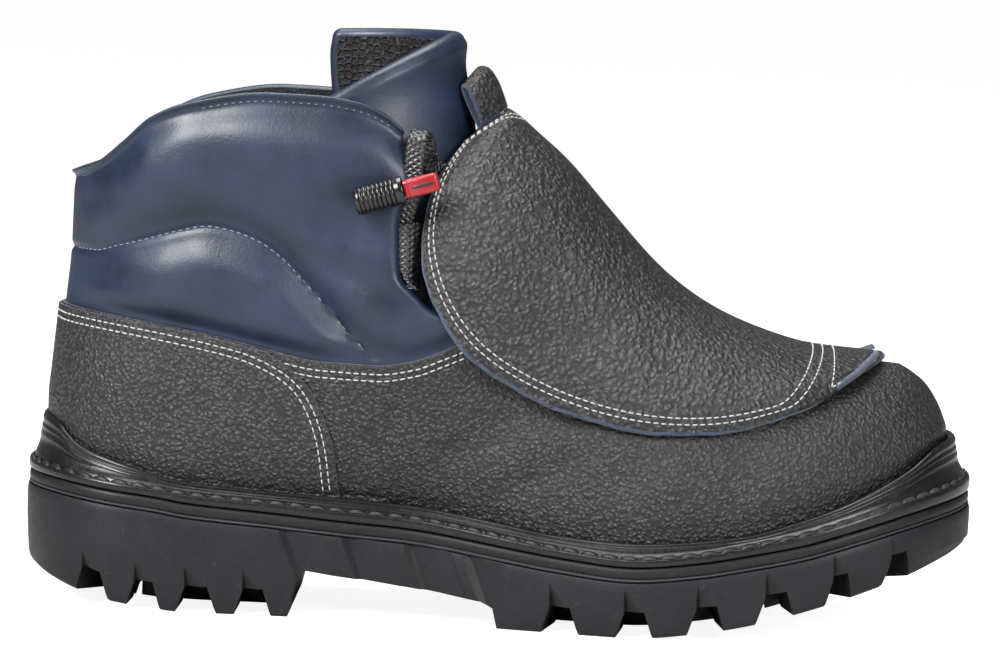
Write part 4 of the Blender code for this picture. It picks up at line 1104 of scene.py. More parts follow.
def counter_border(inside):
    """The counter's top and front edge in the side view, moved inwards by a distance."""
    x = np.linspace(0.012, 0.248 * LENGTH, 60)
    top = np.stack([x, topline(x)], axis=1)
    z = np.linspace(0.506, 0.250, 40) * COLLAR_HEIGHT
    front = np.stack([LENGTH * along(z / COLLAR_HEIGHT, COUNTER_EDGE, 1), z], axis=1)
    path = smoothed(np.concatenate([top, front]), 6)
    way = unit(np.gradient(path, axis=0))
    return smoothed(path + np.stack([way[:, 1], -way[:, 0]], axis=1) * inside, 20)


def grid_normals(points, towards):
    """Unit normals of a grid: its two central differences crossed, turned on the whole towards a way."""
    out = unit(np.cross(np.gradient(points, axis=0), np.gradient(points, axis=1)))
    return out if np.sum(out * towards) > 0 else -out


def sample(grid, down, across):
    """Values of a grid at shares of its rows and columns, read bilinearly."""
    row = np.clip(down, 0, 1) * (grid.shape[0] - 1)
    column = np.clip(across, 0, 1) * (grid.shape[1] - 1)
    i = np.minimum(row.astype(int), grid.shape[0] - 2)
    j = np.minimum(column.astype(int), grid.shape[1] - 2)
    a, b = row - i, column - j
    if grid.ndim == 3:
        a, b = a[..., None], b[..., None]
    upper = grid[i, j] * (1 - b) + grid[i, j + 1] * b
    lower = grid[i + 1, j] * (1 - b) + grid[i + 1, j + 1] * b
    return upper * (1 - a) + lower * a


def make_counter():
    """The leather() surface again from the heel to COUNTER_EDGE, its columns at 1 - cos round the heel,
    with a modifier's thickness outwards, and the stitch rows of the black leather."""
    q = np.linspace(-0.06, 0.985, 44)[:, None]
    level = np.clip(q, 0, 1)
    back, front = leather_ends(level)
    low = lip_top(0.30 * LENGTH) + LEATHER_START
    height = low + (topline(0.26 * LENGTH) - low) * q
    edge = LENGTH * along(height / COLLAR_HEIGHT, COUNTER_EDGE, 1)
    u = np.linspace(-1, 1, 201)[None, :]
    x = back + (edge - back) * (1 - np.cos(np.abs(u) * np.pi / 2))
    half, z = leather(x, level, back, front)
    z = z + np.minimum(q, 0) * 0.03
    side = np.where(u < 0, -1.0, 1.0)
    depth = troughs(x, z, VAMP_CREASES)
    points = place(x, centre(x) + side * (half - depth), z)
    faces = grid_faces(*points.shape[:2])
    counter = build("black_counter", points, faces, [BLACK_LEATHER, CUT_EDGE])
    thick = counter.modifiers.new("leather thickness", "SOLIDIFY")
    thick.thickness = COUNTER_LIFT
    thick.offset = 1.0
    thick.material_offset_rim = 1
    soft = counter.modifiers.new("soft edge", "BEVEL")
    soft.width = 0.0003
    soft.segments = 2
    soft.limit_method = "ANGLE"
    grid_z = z
    out = grid_normals(points, points - place(0.3 * LENGTH + 0 * x, centre(x), z))
    part = (HEEL_STITCH_END - back[-1, 0]) / (edge[-1, 0] - back[-1, 0])
    reach = float(np.arccos(1 - part) * 2 / np.pi)
    rows = []
    for side in (-1, 1):
        for inside in STITCH_ROWS:
            path = counter_border(inside)
            rows.append(on_leather(path[:, 0], path[:, 1], side, COUNTER_LIFT))
            x = np.linspace(0.275 * LENGTH, 0.470 * LENGTH, 60)
            rows.append(on_leather(x, topline(x) - inside, side))
    across = 0.5 + 0.5 * np.linspace(-reach, reach, 90)
    for inside in STITCH_ROWS:
        climb = grid_z[:, round(200 * float(across[0]))]
        level = topline(HEEL_STITCH_END) - inside
        down = 0 * across + np.interp(level, climb, np.linspace(0, 1, len(climb)))
        way = sample(out, down, across)
        rows.append((sample(points, down, across) + way * COUNTER_LIFT, way))
    threads("white_upper_stitches", rows, *STITCH, WHITE_THREAD, "upper_leather")


make_counter()

# Shaft: smooth navy leather over foam, an upper pad round the collar and a lower one under the ankle.
# Its rim is rolled over and caught down with fine pale stitches; inside is the dark lining.

WALL = 0.0026
OVERLAY = 0.0012
LEDGE = 0.0008
PAD = 0.0044
PAD_ROUND = 0.0085
PAD_FOOT = 0.0048
RIM_STITCH = 0.0018
HEEL_PAD_ROUND = 0.022
PINCH = 0.0008
PINCH_REACH = 0.0011

# Pitch, length, width and height of the pale stitches
FINE_STITCH = (0.0024, 0.0017, 0.0004, 0.0004)

COLLAR = (
    # station, height, half
    (0.038, 0.827, 0.345),
    (0.071, 0.851, 0.349),
    (0.099, 0.893, 0.353),
    (0.131, 0.946, 0.358),
    (0.170, 0.976, 0.363),
    (0.250, 1.000, 0.366),
    (0.304, 0.998, 0.360),
    (0.343, 0.988, 0.349),
    (0.372, 0.967, 0.337),
    (0.388, 0.943, 0.328),
)

SHAFT_FRONT = (
    # rise, station
    (-0.10, 0.468),
    (0.00, 0.468),
    (0.10, 0.446),
    (0.25, 0.407),
    (0.40, 0.382),
    (0.60, 0.379),
    (0.80, 0.389),
    (1.00, 0.388),
)

PAD_SEAM = (
    # station, height
    (0.000, 0.684),
    (0.067, 0.684),
    (0.093, 0.696),
    (0.128, 0.714),
    (0.160, 0.732),
    (0.192, 0.744),
    (0.215, 0.738),
    (0.244, 0.720),
    (0.269, 0.690),
    (0.292, 0.649),
    (0.314, 0.607),
    (0.343, 0.548),
    (0.372, 0.500),
)

# Creases of the padding, as for the vamp
SHAFT_CREASES = (
    # station, height, station, height, width, depth
    (0.290, 0.720, 0.370, 0.640, 0.0040, 0.0014),
    (0.300, 0.780, 0.375, 0.720, 0.0050, 0.0012),
    (0.330, 0.860, 0.385, 0.800, 0.0040, 0.0010),
    (0.060, 0.640, 0.150, 0.620, 0.0050, 0.0007),
    (0.130, 0.880, 0.230, 0.900, 0.0060, 0.0006),
    (0.050, 0.770, 0.120, 0.800, 0.0050, 0.0007),
    (0.200, 0.640, 0.260, 0.560, 0.0060, 0.0009),
    (0.380, 0.640, 0.440, 0.560, 0.0050, 0.0009),
    (0.250, 0.840, 0.320, 0.890, 0.0070, -0.0007),
)


def collar_rim(x):
    """Height of the shaft's rim, read from COLLAR."""
    return COLLAR_HEIGHT * along(x / LENGTH, COLLAR, 1)


def pad_relief(x, z):
    """Height of the padding over the leather: full between the seams, low along them, less the creases."""
    seam = COLLAR_HEIGHT * along(x / LENGTH, PAD_SEAM, 1)
    from_seam = np.hypot(z - seam, np.maximum(x - PAD_SEAM[-1][0] * LENGTH, 0))
    from_rim = collar_rim(x) - z - RIM_STITCH / 2
    from_edge = np.minimum(z - topline(x), from_rim)

    def soft(distance, reach):
        """Share 1 - exp(-(distance / reach)^2), 0 below no distance."""
        return 1 - np.exp(-((np.maximum(distance, 0) / reach) ** 2))

    foot = soft(z - topline(x) - LEDGE, PAD_FOOT)
    padded = foot * soft(from_rim, PAD_ROUND) * (0.08 + 0.92 * soft(from_seam, PAD_ROUND))
    pinch = PINCH * np.exp(-((from_seam / PINCH_REACH) ** 2)) * (from_edge > 0.002)
    padded = padded * soft(x - heel_back(z), HEEL_PAD_ROUND)
    return -OVERLAY + (PAD + OVERLAY) * padded - pinch - troughs(x, z, SHAFT_CREASES) * soft(from_edge, 0.004)


def shaft(x, rise, back):
    """Half width and height of the shaft at a share of its rise from the topline to the rim."""
    low = topline(x) + LEDGE
    lower_half = BALL_WIDTH * along(x / LENGTH, TOPLINE, 2)
    upper_half = BALL_WIDTH * along(x / LENGTH, COLLAR, 2)
    half = lower_half + (upper_half - lower_half) * ease(rise)
    heel = np.clip(1 - (x - back) / (HEEL_ROUND * (1 + 0.2 * np.maximum(rise, 0))), 0, 1)
    return half * np.sqrt(1 - heel**2), low + (collar_rim(x) - low) * rise


def wall(outer, inner, turns=7, bulge=1.0, roll=1.0):
    """Closed wall between two grids. A row is a loop: outer points, half circle at the free end, inner
    points, half circle back; past the last row and the first it closes on its middle line with a
    quarter circle. Gives points, faces and kinds: 0 outer, 1 inner, 2 edge."""
    middle = (outer + inner) / 2
    half = (outer - inner) / 2
    size = np.linalg.norm(half, axis=-1, keepdims=True)
    angle = (np.arange(turns) + 1) * np.pi / (turns + 1)

    def arc(column, neighbour):
        """Half circle past a side: cos along the half thickness, sin away from the neighbour column."""
        away = unit(middle[:, column] - middle[:, neighbour])[:, None]
        swing = half[:, column, None] * np.cos(angle)[None, :, None]
        reach = away * size[:, column, None] * np.sin(angle)[None, :, None] * bulge
        return middle[:, column, None] + swing + reach

    loop = np.concatenate([outer, arc(-1, -2), inner[:, ::-1], arc(0, 1)[:, ::-1]], axis=1)

    def looped(values):
        """Values of the middle line in the order of the loop's points, the end ones held on the arcs."""
        last, first = [np.repeat(values[:, column], turns, axis=1) for column in ([-1], [0])]
        return np.concatenate([values, last, values[:, ::-1], first], axis=1)

    line, sizes = looped(middle), looped(size)

    def cap(row, neighbour):
        """Quarter circle past an end: cos towards the middle line, sin away from the neighbour row."""
        away = unit(line[row] - line[neighbour])
        swing = (np.arange(turns) + 1)[:, None, None] * np.pi / 2 / turns
        return line[row] + (loop[row] - line[row]) * np.cos(swing) + away * sizes[row] * np.sin(swing) * roll

    points = np.concatenate([cap(0, 1)[::-1], loop, cap(-1, -2)])
    rows, columns = points.shape[:2]
    faces = grid_faces(rows, columns, wrap_columns=True)
    row = faces.min(axis=1) // columns
    first, last = faces[:, 0] % columns, faces[:, 1] % columns
    count = outer.shape[1]
    is_outer = (first < count) & (last < count) & (first < last)
    is_inner = (first >= count + turns) & (last < 2 * count + turns) & (last > first)
    inside = (row >= turns) & (row < rows - 1 - turns)
    kinds = np.where(inside & is_outer, 0, np.where(inside & is_inner, 1, 2))
    return points, faces, kinds


def smooth_leather(name, dark, light, roughness, coat):
    """Coated leather: a broad noise turns dark to light and sets the roughness; dark pores, a fine noise
    and three times the broad one add up to the height of the bump."""
    material, tree, shader = finish_of(name, dark, roughness, Coat_Weight=coat, Coat_Roughness=0.24)
    where = add(tree, "ShaderNodeTexCoord", {}, {}, "Object")
    holes = {"Vector": where, "Scale": 1800.0, "Randomness": 1.0}
    pores = add(tree, "ShaderNodeTexVoronoi", {"feature": "F1"}, holes, "Distance")
    creases = {"Vector": where, "Scale": 1.0 / 0.0011, "Detail": 4.0, "Roughness": 0.6}
    fine = add(tree, "ShaderNodeTexNoise", {}, creases)
    blotches = {"Vector": where, "Scale": 1.0 / 0.016, "Detail": 4.0, "Roughness": 0.6}
    broad = add(tree, "ShaderNodeTexNoise", {}, blotches)
    height = add(tree, "ShaderNodeMath", {"operation": "MULTIPLY_ADD"}, {0: pores, 1: 0.4, 2: fine})
    relief = add(tree, "ShaderNodeMath", {"operation": "MULTIPLY_ADD"}, {0: broad, 1: 3.0, 2: height})
    share = add(tree, "ShaderNodeMapRange", {}, {"Value": broad, "From Min": 0.35, "From Max": 0.68})
    tint = add(tree, "ShaderNodeMix", {"data_type": "RGBA"}, {0: share, 6: linear(dark), 7: linear(light)}, 2)
    near = {"Value": pores, "From Min": 0.05, "From Max": 0.25, "To Min": 0.35, "To Max": 0.0}
    share = add(tree, "ShaderNodeMapRange", {}, near)
    spots = add(tree, "ShaderNodeMix", {"data_type": "RGBA"}, {0: share, 6: tint, 7: linear("#10141d")}, 2)
    tree.links.new(spots, shader.inputs["Base Color"])
    shine = {"Value": broad, "From Min": 0.3, "From Max": 0.7}
    shine |= {"To Min": roughness - 0.06, "To Max": roughness + 0.1}
    tree.links.new(add(tree, "ShaderNodeMapRange", {}, shine), shader.inputs["Roughness"])
    normal = add(tree, "ShaderNodeBump", {}, {"Height": relief, "Distance": 0.00010, "Strength": 0.8})
    tree.links.new(normal, shader.inputs["Normal"])
    return material


# Corrected-grain cowhide, sanded and coated with navy polyurethane: dark blue, satin, almost even.
# Its pores are 0.15 mm apart, drawn 0.55 mm apart so that they show.
NAVY_LEATHER = smooth_leather("navy_coated_cowhide", "#0e1a2d", "#15253e", 0.44, 0.14)
# Twisted polyester sewing thread: a greyed pale blue against the navy.
PALE_THREAD = thread_finish("pale_blue_polyester_thread", "#757f90", 0.6)


def shaft_surface(x, z, side):
    """Padded surface of the shaft where the side view shows x and z, with its unit normals."""

    def surface(x, z):
        """Point at x and z: z gives the rise, and shaft() the half width."""
        low = topline(x) + LEDGE
        rise = (z - low) / (collar_rim(x) - low)
        half, _ = shaft(x, rise, heel_back(z))
        return place(x, centre(x) + side * half, z)

    step = 0.0004
    run = surface(x + step, z) - surface(x - step, z)
    climb = surface(x, z + step) - surface(x, z - step)
    out = unit(np.cross(run, climb))
    out = np.where(out[:, 1:2] * side < 0, -out, out)
    return surface(x, z) + out * pad_relief(x, z)[:, None], out


def make_shaft():
    """The shaft() surface by rise and round the heel at 1 - cos, its outside lifted along the normals by
    pad_relief() and its inside set back by WALL; then the fine stitches of rim and seam."""
    rise = np.concatenate([[-0.05], np.linspace(0, 1, 110)])[:, None]
    low = topline(0.036 * LENGTH)
    back = heel_back(low + (collar_rim(0.036 * LENGTH) - low) * rise)
    front = LENGTH * along(rise, SHAFT_FRONT, 1)
    u = np.linspace(-1, 1, 221)[None, :]
    x = back + (front - back) * (1 - np.cos(np.abs(u) * np.pi / 2))
    half, z = shaft(x, rise, back)
    points = place(x, centre(x) + np.where(u < 0, -1.0, 1.0) * half, z)
    middle = place(0.2 * LENGTH + 0 * x, centre(x), z)
    normals = grid_normals(points, points - middle)
    inner = points - normals * WALL
    rim = np.clip((rise - 0.96) / 0.04, 0, 1)
    lift = pad_relief(x, z) * (1 - rim**3) + 0.0002 * rim
    points, faces, kinds = wall(points + normals * lift[..., None], inner, roll=0.9)
    build("navy_shaft", points, faces, [NAVY_LEATHER, LINING_CLOTH, NAVY_LEATHER], kinds)
    rows = []
    for side in (-1, 1):
        x = np.linspace(0.050 * LENGTH, 0.378 * LENGTH, 200)
        rows.append(shaft_surface(x, collar_rim(x) - RIM_STITCH, side))
        x = np.linspace(0.045 * LENGTH, 0.355 * LENGTH, 200)
        rows.append(shaft_surface(x, COLLAR_HEIGHT * along(x / LENGTH, PAD_SEAM, 1), side))
    threads("shaft_stitches", rows, *FINE_STITCH, PALE_THREAD, "upper_leather")


make_shaft()

# Tongue: navy leather over thick foam, arched across the front, its wings inside the shaft.
# The outside is smooth like the shaft; the inside is black open mesh with pale flecks.

TONGUE_THICKNESS = 0.0058
TONGUE_POWER = 1.8

TONGUE = (
    # front, front_z, wing, outer_z, inner_z, half
    (0.668, 0.556, 0.640, 0.530, 0.530, 0.150),
    (0.640, 0.562, 0.590, 0.520, 0.520, 0.200),
    (0.600, 0.585, 0.530, 0.520, 0.520, 0.240),
    (0.560, 0.628, 0.470, 0.535, 0.535, 0.262),
    (0.522, 0.695, 0.420, 0.580, 0.580, 0.278),
    (0.492, 0.775, 0.380, 0.660, 0.660, 0.290),
    (0.473, 0.860, 0.350, 0.760, 0.760, 0.300),
    (0.460, 0.950, 0.326, 0.850, 0.870, 0.304),
    (0.453, 1.040, 0.312, 0.930, 0.990, 0.304),
    (0.449, 1.095, 0.308, 0.970, 1.075, 0.302),
    (0.446, 1.120, 0.310, 0.990, 1.110, 0.298),
)


def arch(rows, columns, power):
    """Arched sheet from rows of crest and edges: |sin|^(2/p) across and 1 - cos^(2/p) down."""
    crest, crest_z, edge, outer_z, inner_z, half = [value[:, None] for value in rows.T]
    angle = np.linspace(-np.pi / 2, np.pi / 2, columns)[None, :]
    across = np.sign(angle) * np.abs(np.sin(angle)) ** (2 / power)
    drop = 1 - np.maximum(np.cos(angle), 0) ** (2 / power)
    x = crest + (edge - crest) * drop
    z = crest_z + (np.where(angle < 0, outer_z, inner_z) - crest_z) * drop
    return place(x, centre(x) + half * across, z)


def rows_of(table, count):
    """Rows of a table read smoothly at even shares of its length."""
    spaced = np.linspace(0, 1, len(table))
    indexed = np.concatenate([spaced[:, None], np.array(table)], axis=1)
    at = np.linspace(0, 1, count)
    return np.stack([along(at, indexed, c) for c in range(1, indexed.shape[1])], axis=1)


# Polyester spacer mesh, knitted with open holes: black, with pale flecks on the rims of the holes.
# They are about 1.5 mm wide, drawn 2.4 mm wide so that they show.
MESH_LINING = cloth_finish("knitted_black_mesh", "#0c0d0f", "#4a4d54", 0.0024, 0.0009, 0.75)
TONGUE_SAG = 0.0006
TONGUE_SINK = 0.0004


def tongue_grid(rows, columns):
    """The tongue's outside: the arch of TONGUE's rows, in metres."""
    scale = np.array([LENGTH, COLLAR_HEIGHT, LENGTH, COLLAR_HEIGHT, COLLAR_HEIGHT, BALL_WIDTH])
    return arch(rows_of(TONGUE, rows) * scale, columns, TONGUE_POWER)


def make_tongue():
    """A wall round the tongue's grid, its face sagging by sine times sine, nine half waves down it."""
    outer = tongue_grid(90, 121)
    out = grid_normals(outer, np.array([1.0, 0.0, 0.6]))
    inner = outer - out * TONGUE_THICKNESS
    waves = np.sin(np.linspace(0, 9 * np.pi, 90))[:, None]
    sag = TONGUE_SAG * waves * np.sin(np.linspace(0, np.pi, 121))[None, :]
    points, faces, kinds = wall(outer + out * (sag - TONGUE_SINK)[..., None], inner, turns=9)
    materials = [NAVY_LEATHER, MESH_LINING, NAVY_LEATHER]
    tongue = build("padded_tongue", points, faces, materials, kinds, ["tongue"])


make_tongue()

# Metatarsal guard: a thick flap of boldly pebbled black leather over the instep and the vamp, cut raw
# at its edge. Two rows of white thread follow the edge and meet over the toe; one row boxes the tab.

GUARD_THICKNESS = 0.0026
GUARD_POWER = 2.1

GUARD = (
    # crest, crest_z, edge, edge_z, half
    (0.8990, 0.5270, 0.8950, 0.5190, 0.100),
    (0.8900, 0.5310, 0.8860, 0.4960, 0.180),
    (0.8720, 0.5340, 0.8680, 0.4790, 0.254),
    (0.8490, 0.5370, 0.8420, 0.4620, 0.322),
    (0.8270, 0.5420, 0.8160, 0.4430, 0.366),
    (0.8040, 0.5520, 0.7880, 0.4250, 0.398),
    (0.7790, 0.5670, 0.7560, 0.4080, 0.420),
    (0.7500, 0.5850, 0.7210, 0.3960, 0.433),
    (0.7210, 0.6090, 0.6830, 0.3930, 0.440),
    (0.6950, 0.6380, 0.6440, 0.3960, 0.436),
    (0.6700, 0.6720, 0.6060, 0.4080, 0.424),
    (0.6470, 0.7110, 0.5670, 0.4270, 0.412),
    (0.6280, 0.7500, 0.5350, 0.4510, 0.408),
    (0.6090, 0.7890, 0.5060, 0.4760, 0.410),
    (0.5900, 0.8270, 0.4810, 0.5060, 0.416),
    (0.5740, 0.8620, 0.4580, 0.5420, 0.424),
    (0.5580, 0.8930, 0.4390, 0.5890, 0.422),
    (0.5420, 0.9180, 0.4250, 0.6370, 0.408),
    (0.5290, 0.9370, 0.4170, 0.6850, 0.388),
    (0.5180, 0.9550, 0.4135, 0.7260, 0.368),
    (0.5100, 0.9670, 0.4135, 0.7740, 0.342),
    (0.5030, 0.9760, 0.4200, 0.8330, 0.300),
    (0.4985, 0.9820, 0.4330, 0.8870, 0.236),
    (0.4955, 0.9850, 0.4520, 0.9290, 0.130),
)

GUARD_CREASES = (
    # station, height, station, height, width, depth
    (0.470, 0.800, 0.560, 0.660, 0.0080, 0.0010),
    (0.520, 0.600, 0.620, 0.560, 0.0070, 0.0009),
    (0.560, 0.720, 0.650, 0.520, 0.0090, -0.0008),
    (0.640, 0.600, 0.720, 0.430, 0.0080, 0.0009),
    (0.720, 0.520, 0.790, 0.450, 0.0070, 0.0008),
    (0.430, 0.640, 0.500, 0.560, 0.0060, 0.0008),
)
GUARD_FRONT_TURN = 0.158
ROWS_APART = 0.020
TURN_ROUND = 0.05
TAB_BACK = 0.136
TAB_INSET = 0.0034
TAB_FRONT = 0.03
TOP_INSET = 0.0012
TIP_ROWS = 16
VAMP_START = 0.45
VAMP_END = 0.93
VAMP_REACH = 0.06
FLAP_PASSES = 40
NORMAL_PASSES = 30
DROOP = 0.0004
DROOP_REACH = 0.0016
DENT = 0.00022
DENT_REACH = 0.0007
EDGE_WAVE = 0.00022
EDGE_RIPPLE = 0.0001
WAVE_REACH = 0.004


def vamp_table():
    """Height of the vamp over a grid of x and of distance from the centre line."""
    x = np.linspace(VAMP_START, VAMP_END, 100) * LENGTH
    q = np.linspace(0, 1, 80)[:, None]
    half, z = leather(x[None, :], q, FOOT_BACK, FOOT_FRONT)
    distance = np.linspace(0, VAMP_REACH, 90)
    return np.stack([np.interp(distance, half[::-1, i], z[::-1, i]) for i in range(len(x))])


def guard_grid(rows, columns):
    """The flap's outside: the arch of GUARD's rows, and over the vamp never lower than its own thickness
    and a gap above the leather."""
    scale = np.array([LENGTH, COLLAR_HEIGHT, LENGTH, COLLAR_HEIGHT, BALL_WIDTH])
    table = (rows_of(GUARD, rows) * scale)[:, [0, 1, 2, 3, 3, 4]]
    points = arch(table, columns, GUARD_POWER)
    x = points[..., 0] + HEEL_REST
    distance = np.abs(points[..., 1] - centre(x))
    vamp = sample(vamp_table(), (x / LENGTH - VAMP_START) / (VAMP_END - VAMP_START), distance / VAMP_REACH)
    floor = vamp + GAP + GUARD_THICKNESS * 1.12
    points[..., 2] = np.where(x > 0.47 * LENGTH, np.maximum(points[..., 2], floor), points[..., 2])
    return points


# Full-grain cowhide, thick and embossed by a hot plate: black, glossier and more boldly pebbled than the
# upper, with a painted highlight on each pebble's crown and painted shade in its valleys. Pebbles of about
# 1.3 mm are drawn 1.7 mm wide so that they show.
FLAP_LEATHER = grained("black_embossed_cowhide", "#0b0c0e", "#2b2c30", 0.0017, 0.00055, 0.35, 0.20)
# The same hide split and cut raw, as on its back: bluish grey suede with paler tufts, quite dull.
RAW_EDGE = suede("raw_split_suede", "#252d3a", "#48566d")


def across_rows(border, inside):
    """Share of each row of the flap's left half where it is that far inside the edge."""
    half = border.shape[1] // 2
    share = np.linspace(0, 1, border.shape[1])[:half]
    return np.array([np.interp(inside, row[:half], share) for row in border])


def make_guard():
    """A wall between the flap's grid, less creases, drooping edge and stitch dents, and the same grid
    set back by its thickness. A stitch row runs over the top edge, down one side at its own distance
    from the edge, and turns by a quarter circle to meet its twin over the toe."""
    rows, columns = 150, 161
    outer = smoothed(guard_grid(rows, columns), FLAP_PASSES)
    out = grid_normals(outer, np.array([0.3, 0.0, 1.0]))
    out[:TIP_ROWS] = out[TIP_ROWS]
    out = unit(smoothed(out, NORMAL_PASSES))
    x, z = outer[..., 0] + HEEL_REST, outer[..., 2]
    steps = np.linalg.norm(np.diff(outer, axis=1), axis=-1)
    run = np.concatenate([np.zeros((rows, 1)), np.cumsum(steps, axis=1)], axis=1)
    border = np.minimum(run, run[:, -1:] - run)
    droop = DROOP * np.exp(-((border / DROOP_REACH) ** 2))
    dent = DENT * sum(np.exp(-(((border - row) / DENT_REACH) ** 2)) for row in STITCH_ROWS)
    face = outer - out * (troughs(x, z, GUARD_CREASES) + droop + dent)[..., None]
    inner = outer - out * GUARD_THICKNESS
    edge_run = run_of(outer[:, 0])
    wave = EDGE_WAVE * np.sin(edge_run / 0.0049) + EDGE_RIPPLE * np.sin(edge_run / 0.0017 + 1)
    fade = np.exp(-((border / WAVE_REACH) ** 2))
    away = np.where(np.arange(columns) < columns / 2, -1, 1)[None, :, None]
    ripple = unit(np.gradient(outer, axis=1)) * away * (wave[:, None] * fade)[..., None]
    points, faces, kinds = wall(face + ripple, inner + ripple, bulge=1.2)
    materials = [FLAP_LEATHER, RAW_EDGE, RAW_EDGE]
    build("guard_flap", points, faces, materials, kinds, ["met_guard"])

    share = np.linspace(0, 1, rows)
    grid_share = np.linspace(0, 1, columns)
    falls = np.linalg.norm(np.diff(outer, axis=0), axis=-1)
    climb = np.concatenate([np.cumsum(falls[::-1], axis=0)[::-1], np.zeros((1, columns))])
    paths = []
    for side in (-1, 1):
        for inside in STITCH_ROWS:
            at = across_rows(border, inside)
            turn_at = GUARD_FRONT_TURN + ROWS_APART * (inside > STITCH_ROWS[0])
            below = inside + TOP_INSET
            over = np.array([np.interp(below, climb[::-1, j], share[::-1]) for j in range(columns)])
            meets = share - np.interp(at, grid_share, over)
            top = np.interp(0, meets[rows // 2 :], share[rows // 2 :])
            crossing = np.linspace(0.5, np.interp(top, share, at), 90)[:-1]
            reach = np.linspace(top, turn_at + TURN_ROUND, 260)
            lane = np.interp(reach, share, at)
            bend = np.linspace(0, np.pi / 2, 60)[1:]
            corner = turn_at + TURN_ROUND - TURN_ROUND * np.sin(bend)
            arc = lane[-1] + (0.5 - lane[-1]) * (1 - np.cos(bend))
            down = np.concatenate([np.interp(crossing, grid_share, over), reach, corner])
            across = np.concatenate([crossing, lane, arc])
            down, across = smoothed(np.stack([down, across], axis=1), 10).T
            across = across if side < 0 else 1 - across
            paths.append((sample(face, down, across), sample(out, down, across)))
    down = np.linspace(TAB_FRONT, TAB_BACK, 60)
    lane = np.interp(down, share, across_rows(border, TAB_INSET))
    level = np.linspace(lane[-1], 1 - lane[-1], 90)
    paths.append((sample(face, 0 * level + TAB_BACK, level), sample(out, 0 * level + TAB_BACK, level)))
    level = np.linspace(lane[0], 1 - lane[0], 60)
    paths.append((sample(face, 0 * level + TAB_FRONT, level), sample(out, 0 * level + TAB_FRONT, level)))
    for across in (lane, 1 - lane):
        paths.append((sample(face, down, across), sample(out, down, across)))
    threads("white_guard_stitches", paths, *STITCH, WHITE_THREAD, "guard_leather")


make_guard()

# Pull loop: a strip of the same leather folded over at the flap's top edge, its tail behind the flap.
# It stands up as a teardrop whose cut edges show paler, held by the stitches along the flap's top.

LOOP_THICKNESS = 0.0016
LOOP_REACH_SIDE = 0.0132
LOOP_REACH_CREST = 0.0170
LOOP_LEAN = 0.96
LOOP_SPREAD = 0.22
TAIL_LEAN = 0.52
LOOP_SPAN = 0.14

PULL_LOOP = (
    # reach, rise
    (0.06, 0.00),
    (0.30, 0.08),
    (0.60, 0.15),
    (0.88, 0.12),
    (1.00, -0.04),
    (0.98, -0.22),
    (0.72, -0.33),
    (0.34, -0.37),
    (0.00, -0.38),
    (-0.22, -0.40),
    (-0.42, -0.42),
)


def smooth_route(rows, count):
    """Smooth curve through chosen rows, spaced by its own length; further columns stay with their row."""
    rows = np.array(rows, float)
    step = np.linalg.norm(np.diff(rows[:, :3], axis=0), axis=1)
    reach = np.concatenate([[0], np.cumsum(step)])
    slope = np.gradient(rows, reach, axis=0)
    at = np.linspace(0, reach[-1], count)
    i = np.clip(np.searchsorted(reach, at, side="right") - 1, 0, len(step) - 1)
    t = ((at - reach[i]) / step[i])[:, None]
    span = step[i][:, None]
    return (
        (1 + 2 * t) * (1 - t) ** 2 * rows[i]
        + t * (1 - t) ** 2 * span * slope[i]
        + t * t * (3 - 2 * t) * rows[i + 1]
        - t * t * (1 - t) * span * slope[i + 1]
    )


def make_pull_loop():
    """PULL_LOOP's route of reach and rise, walked from each point of the flap's top edge: reach leans up
    and back in the middle, rise is along the normal; a wall gives the strip its thickness."""
    edge = guard_grid(28, 21)[-1]
    across = np.linspace(LOOP_SPAN, 1 - LOOP_SPAN, 41)
    edge = np.stack([np.interp(across, np.linspace(0, 1, 21), edge[:, c]) for c in range(3)], axis=1)
    edge = smoothed(edge, 8)
    along_edge = np.gradient(edge, axis=0)
    off_crest = (2 * across - 1) ** 2
    size = (LOOP_REACH_SIDE + (LOOP_REACH_CREST - LOOP_REACH_SIDE) * (1 - off_crest))[:, None]
    bow = LOOP_SPREAD * off_crest
    table = smooth_route([(reach, rise, 0) for reach, rise in PULL_LOOP], 60)
    rows = []
    for reach, rise, _ in table:
        share = ease((reach + 0.10) / 0.20)
        lean = (LOOP_LEAN + bow) * share + TAIL_LEAN * (1 - share)
        ahead = np.stack([-np.cos(lean), 0 * lean, np.sin(lean)], axis=1)
        face = unit(np.cross(along_edge, ahead))
        face *= np.where(face[:, 2] < 0, -1, 1)[:, None]
        rows.append(edge + ahead * reach * size + face * rise * LOOP_REACH_SIDE)
    outer = np.array(rows)
    out = grid_normals(outer, np.zeros(3))
    out = out if np.mean(out[24:30] @ np.array([-1.0, 0.0, 1.0])) > 0 else -out
    points, faces, kinds = wall(outer, outer - out * LOOP_THICKNESS, bulge=0.9)
    materials = [FLAP_LEATHER, CUT_EDGE, CUT_EDGE]
    build("pull_loop_strip", points, faces, materials, kinds, ["pull_loop"])


make_pull_loop()

# Lace: flat black braid, out of the outer keeper as a standing loop, over it and across the tongue to
# the inner keeper. The fold of the loop is free; the bar across the tongue is held at both ends.

LACE_WIDTH = 0.0062
LACE_THICKNESS = 0.0018
LACE_CLEARANCE = 0.0012
LOOP_LENGTH = 0.047

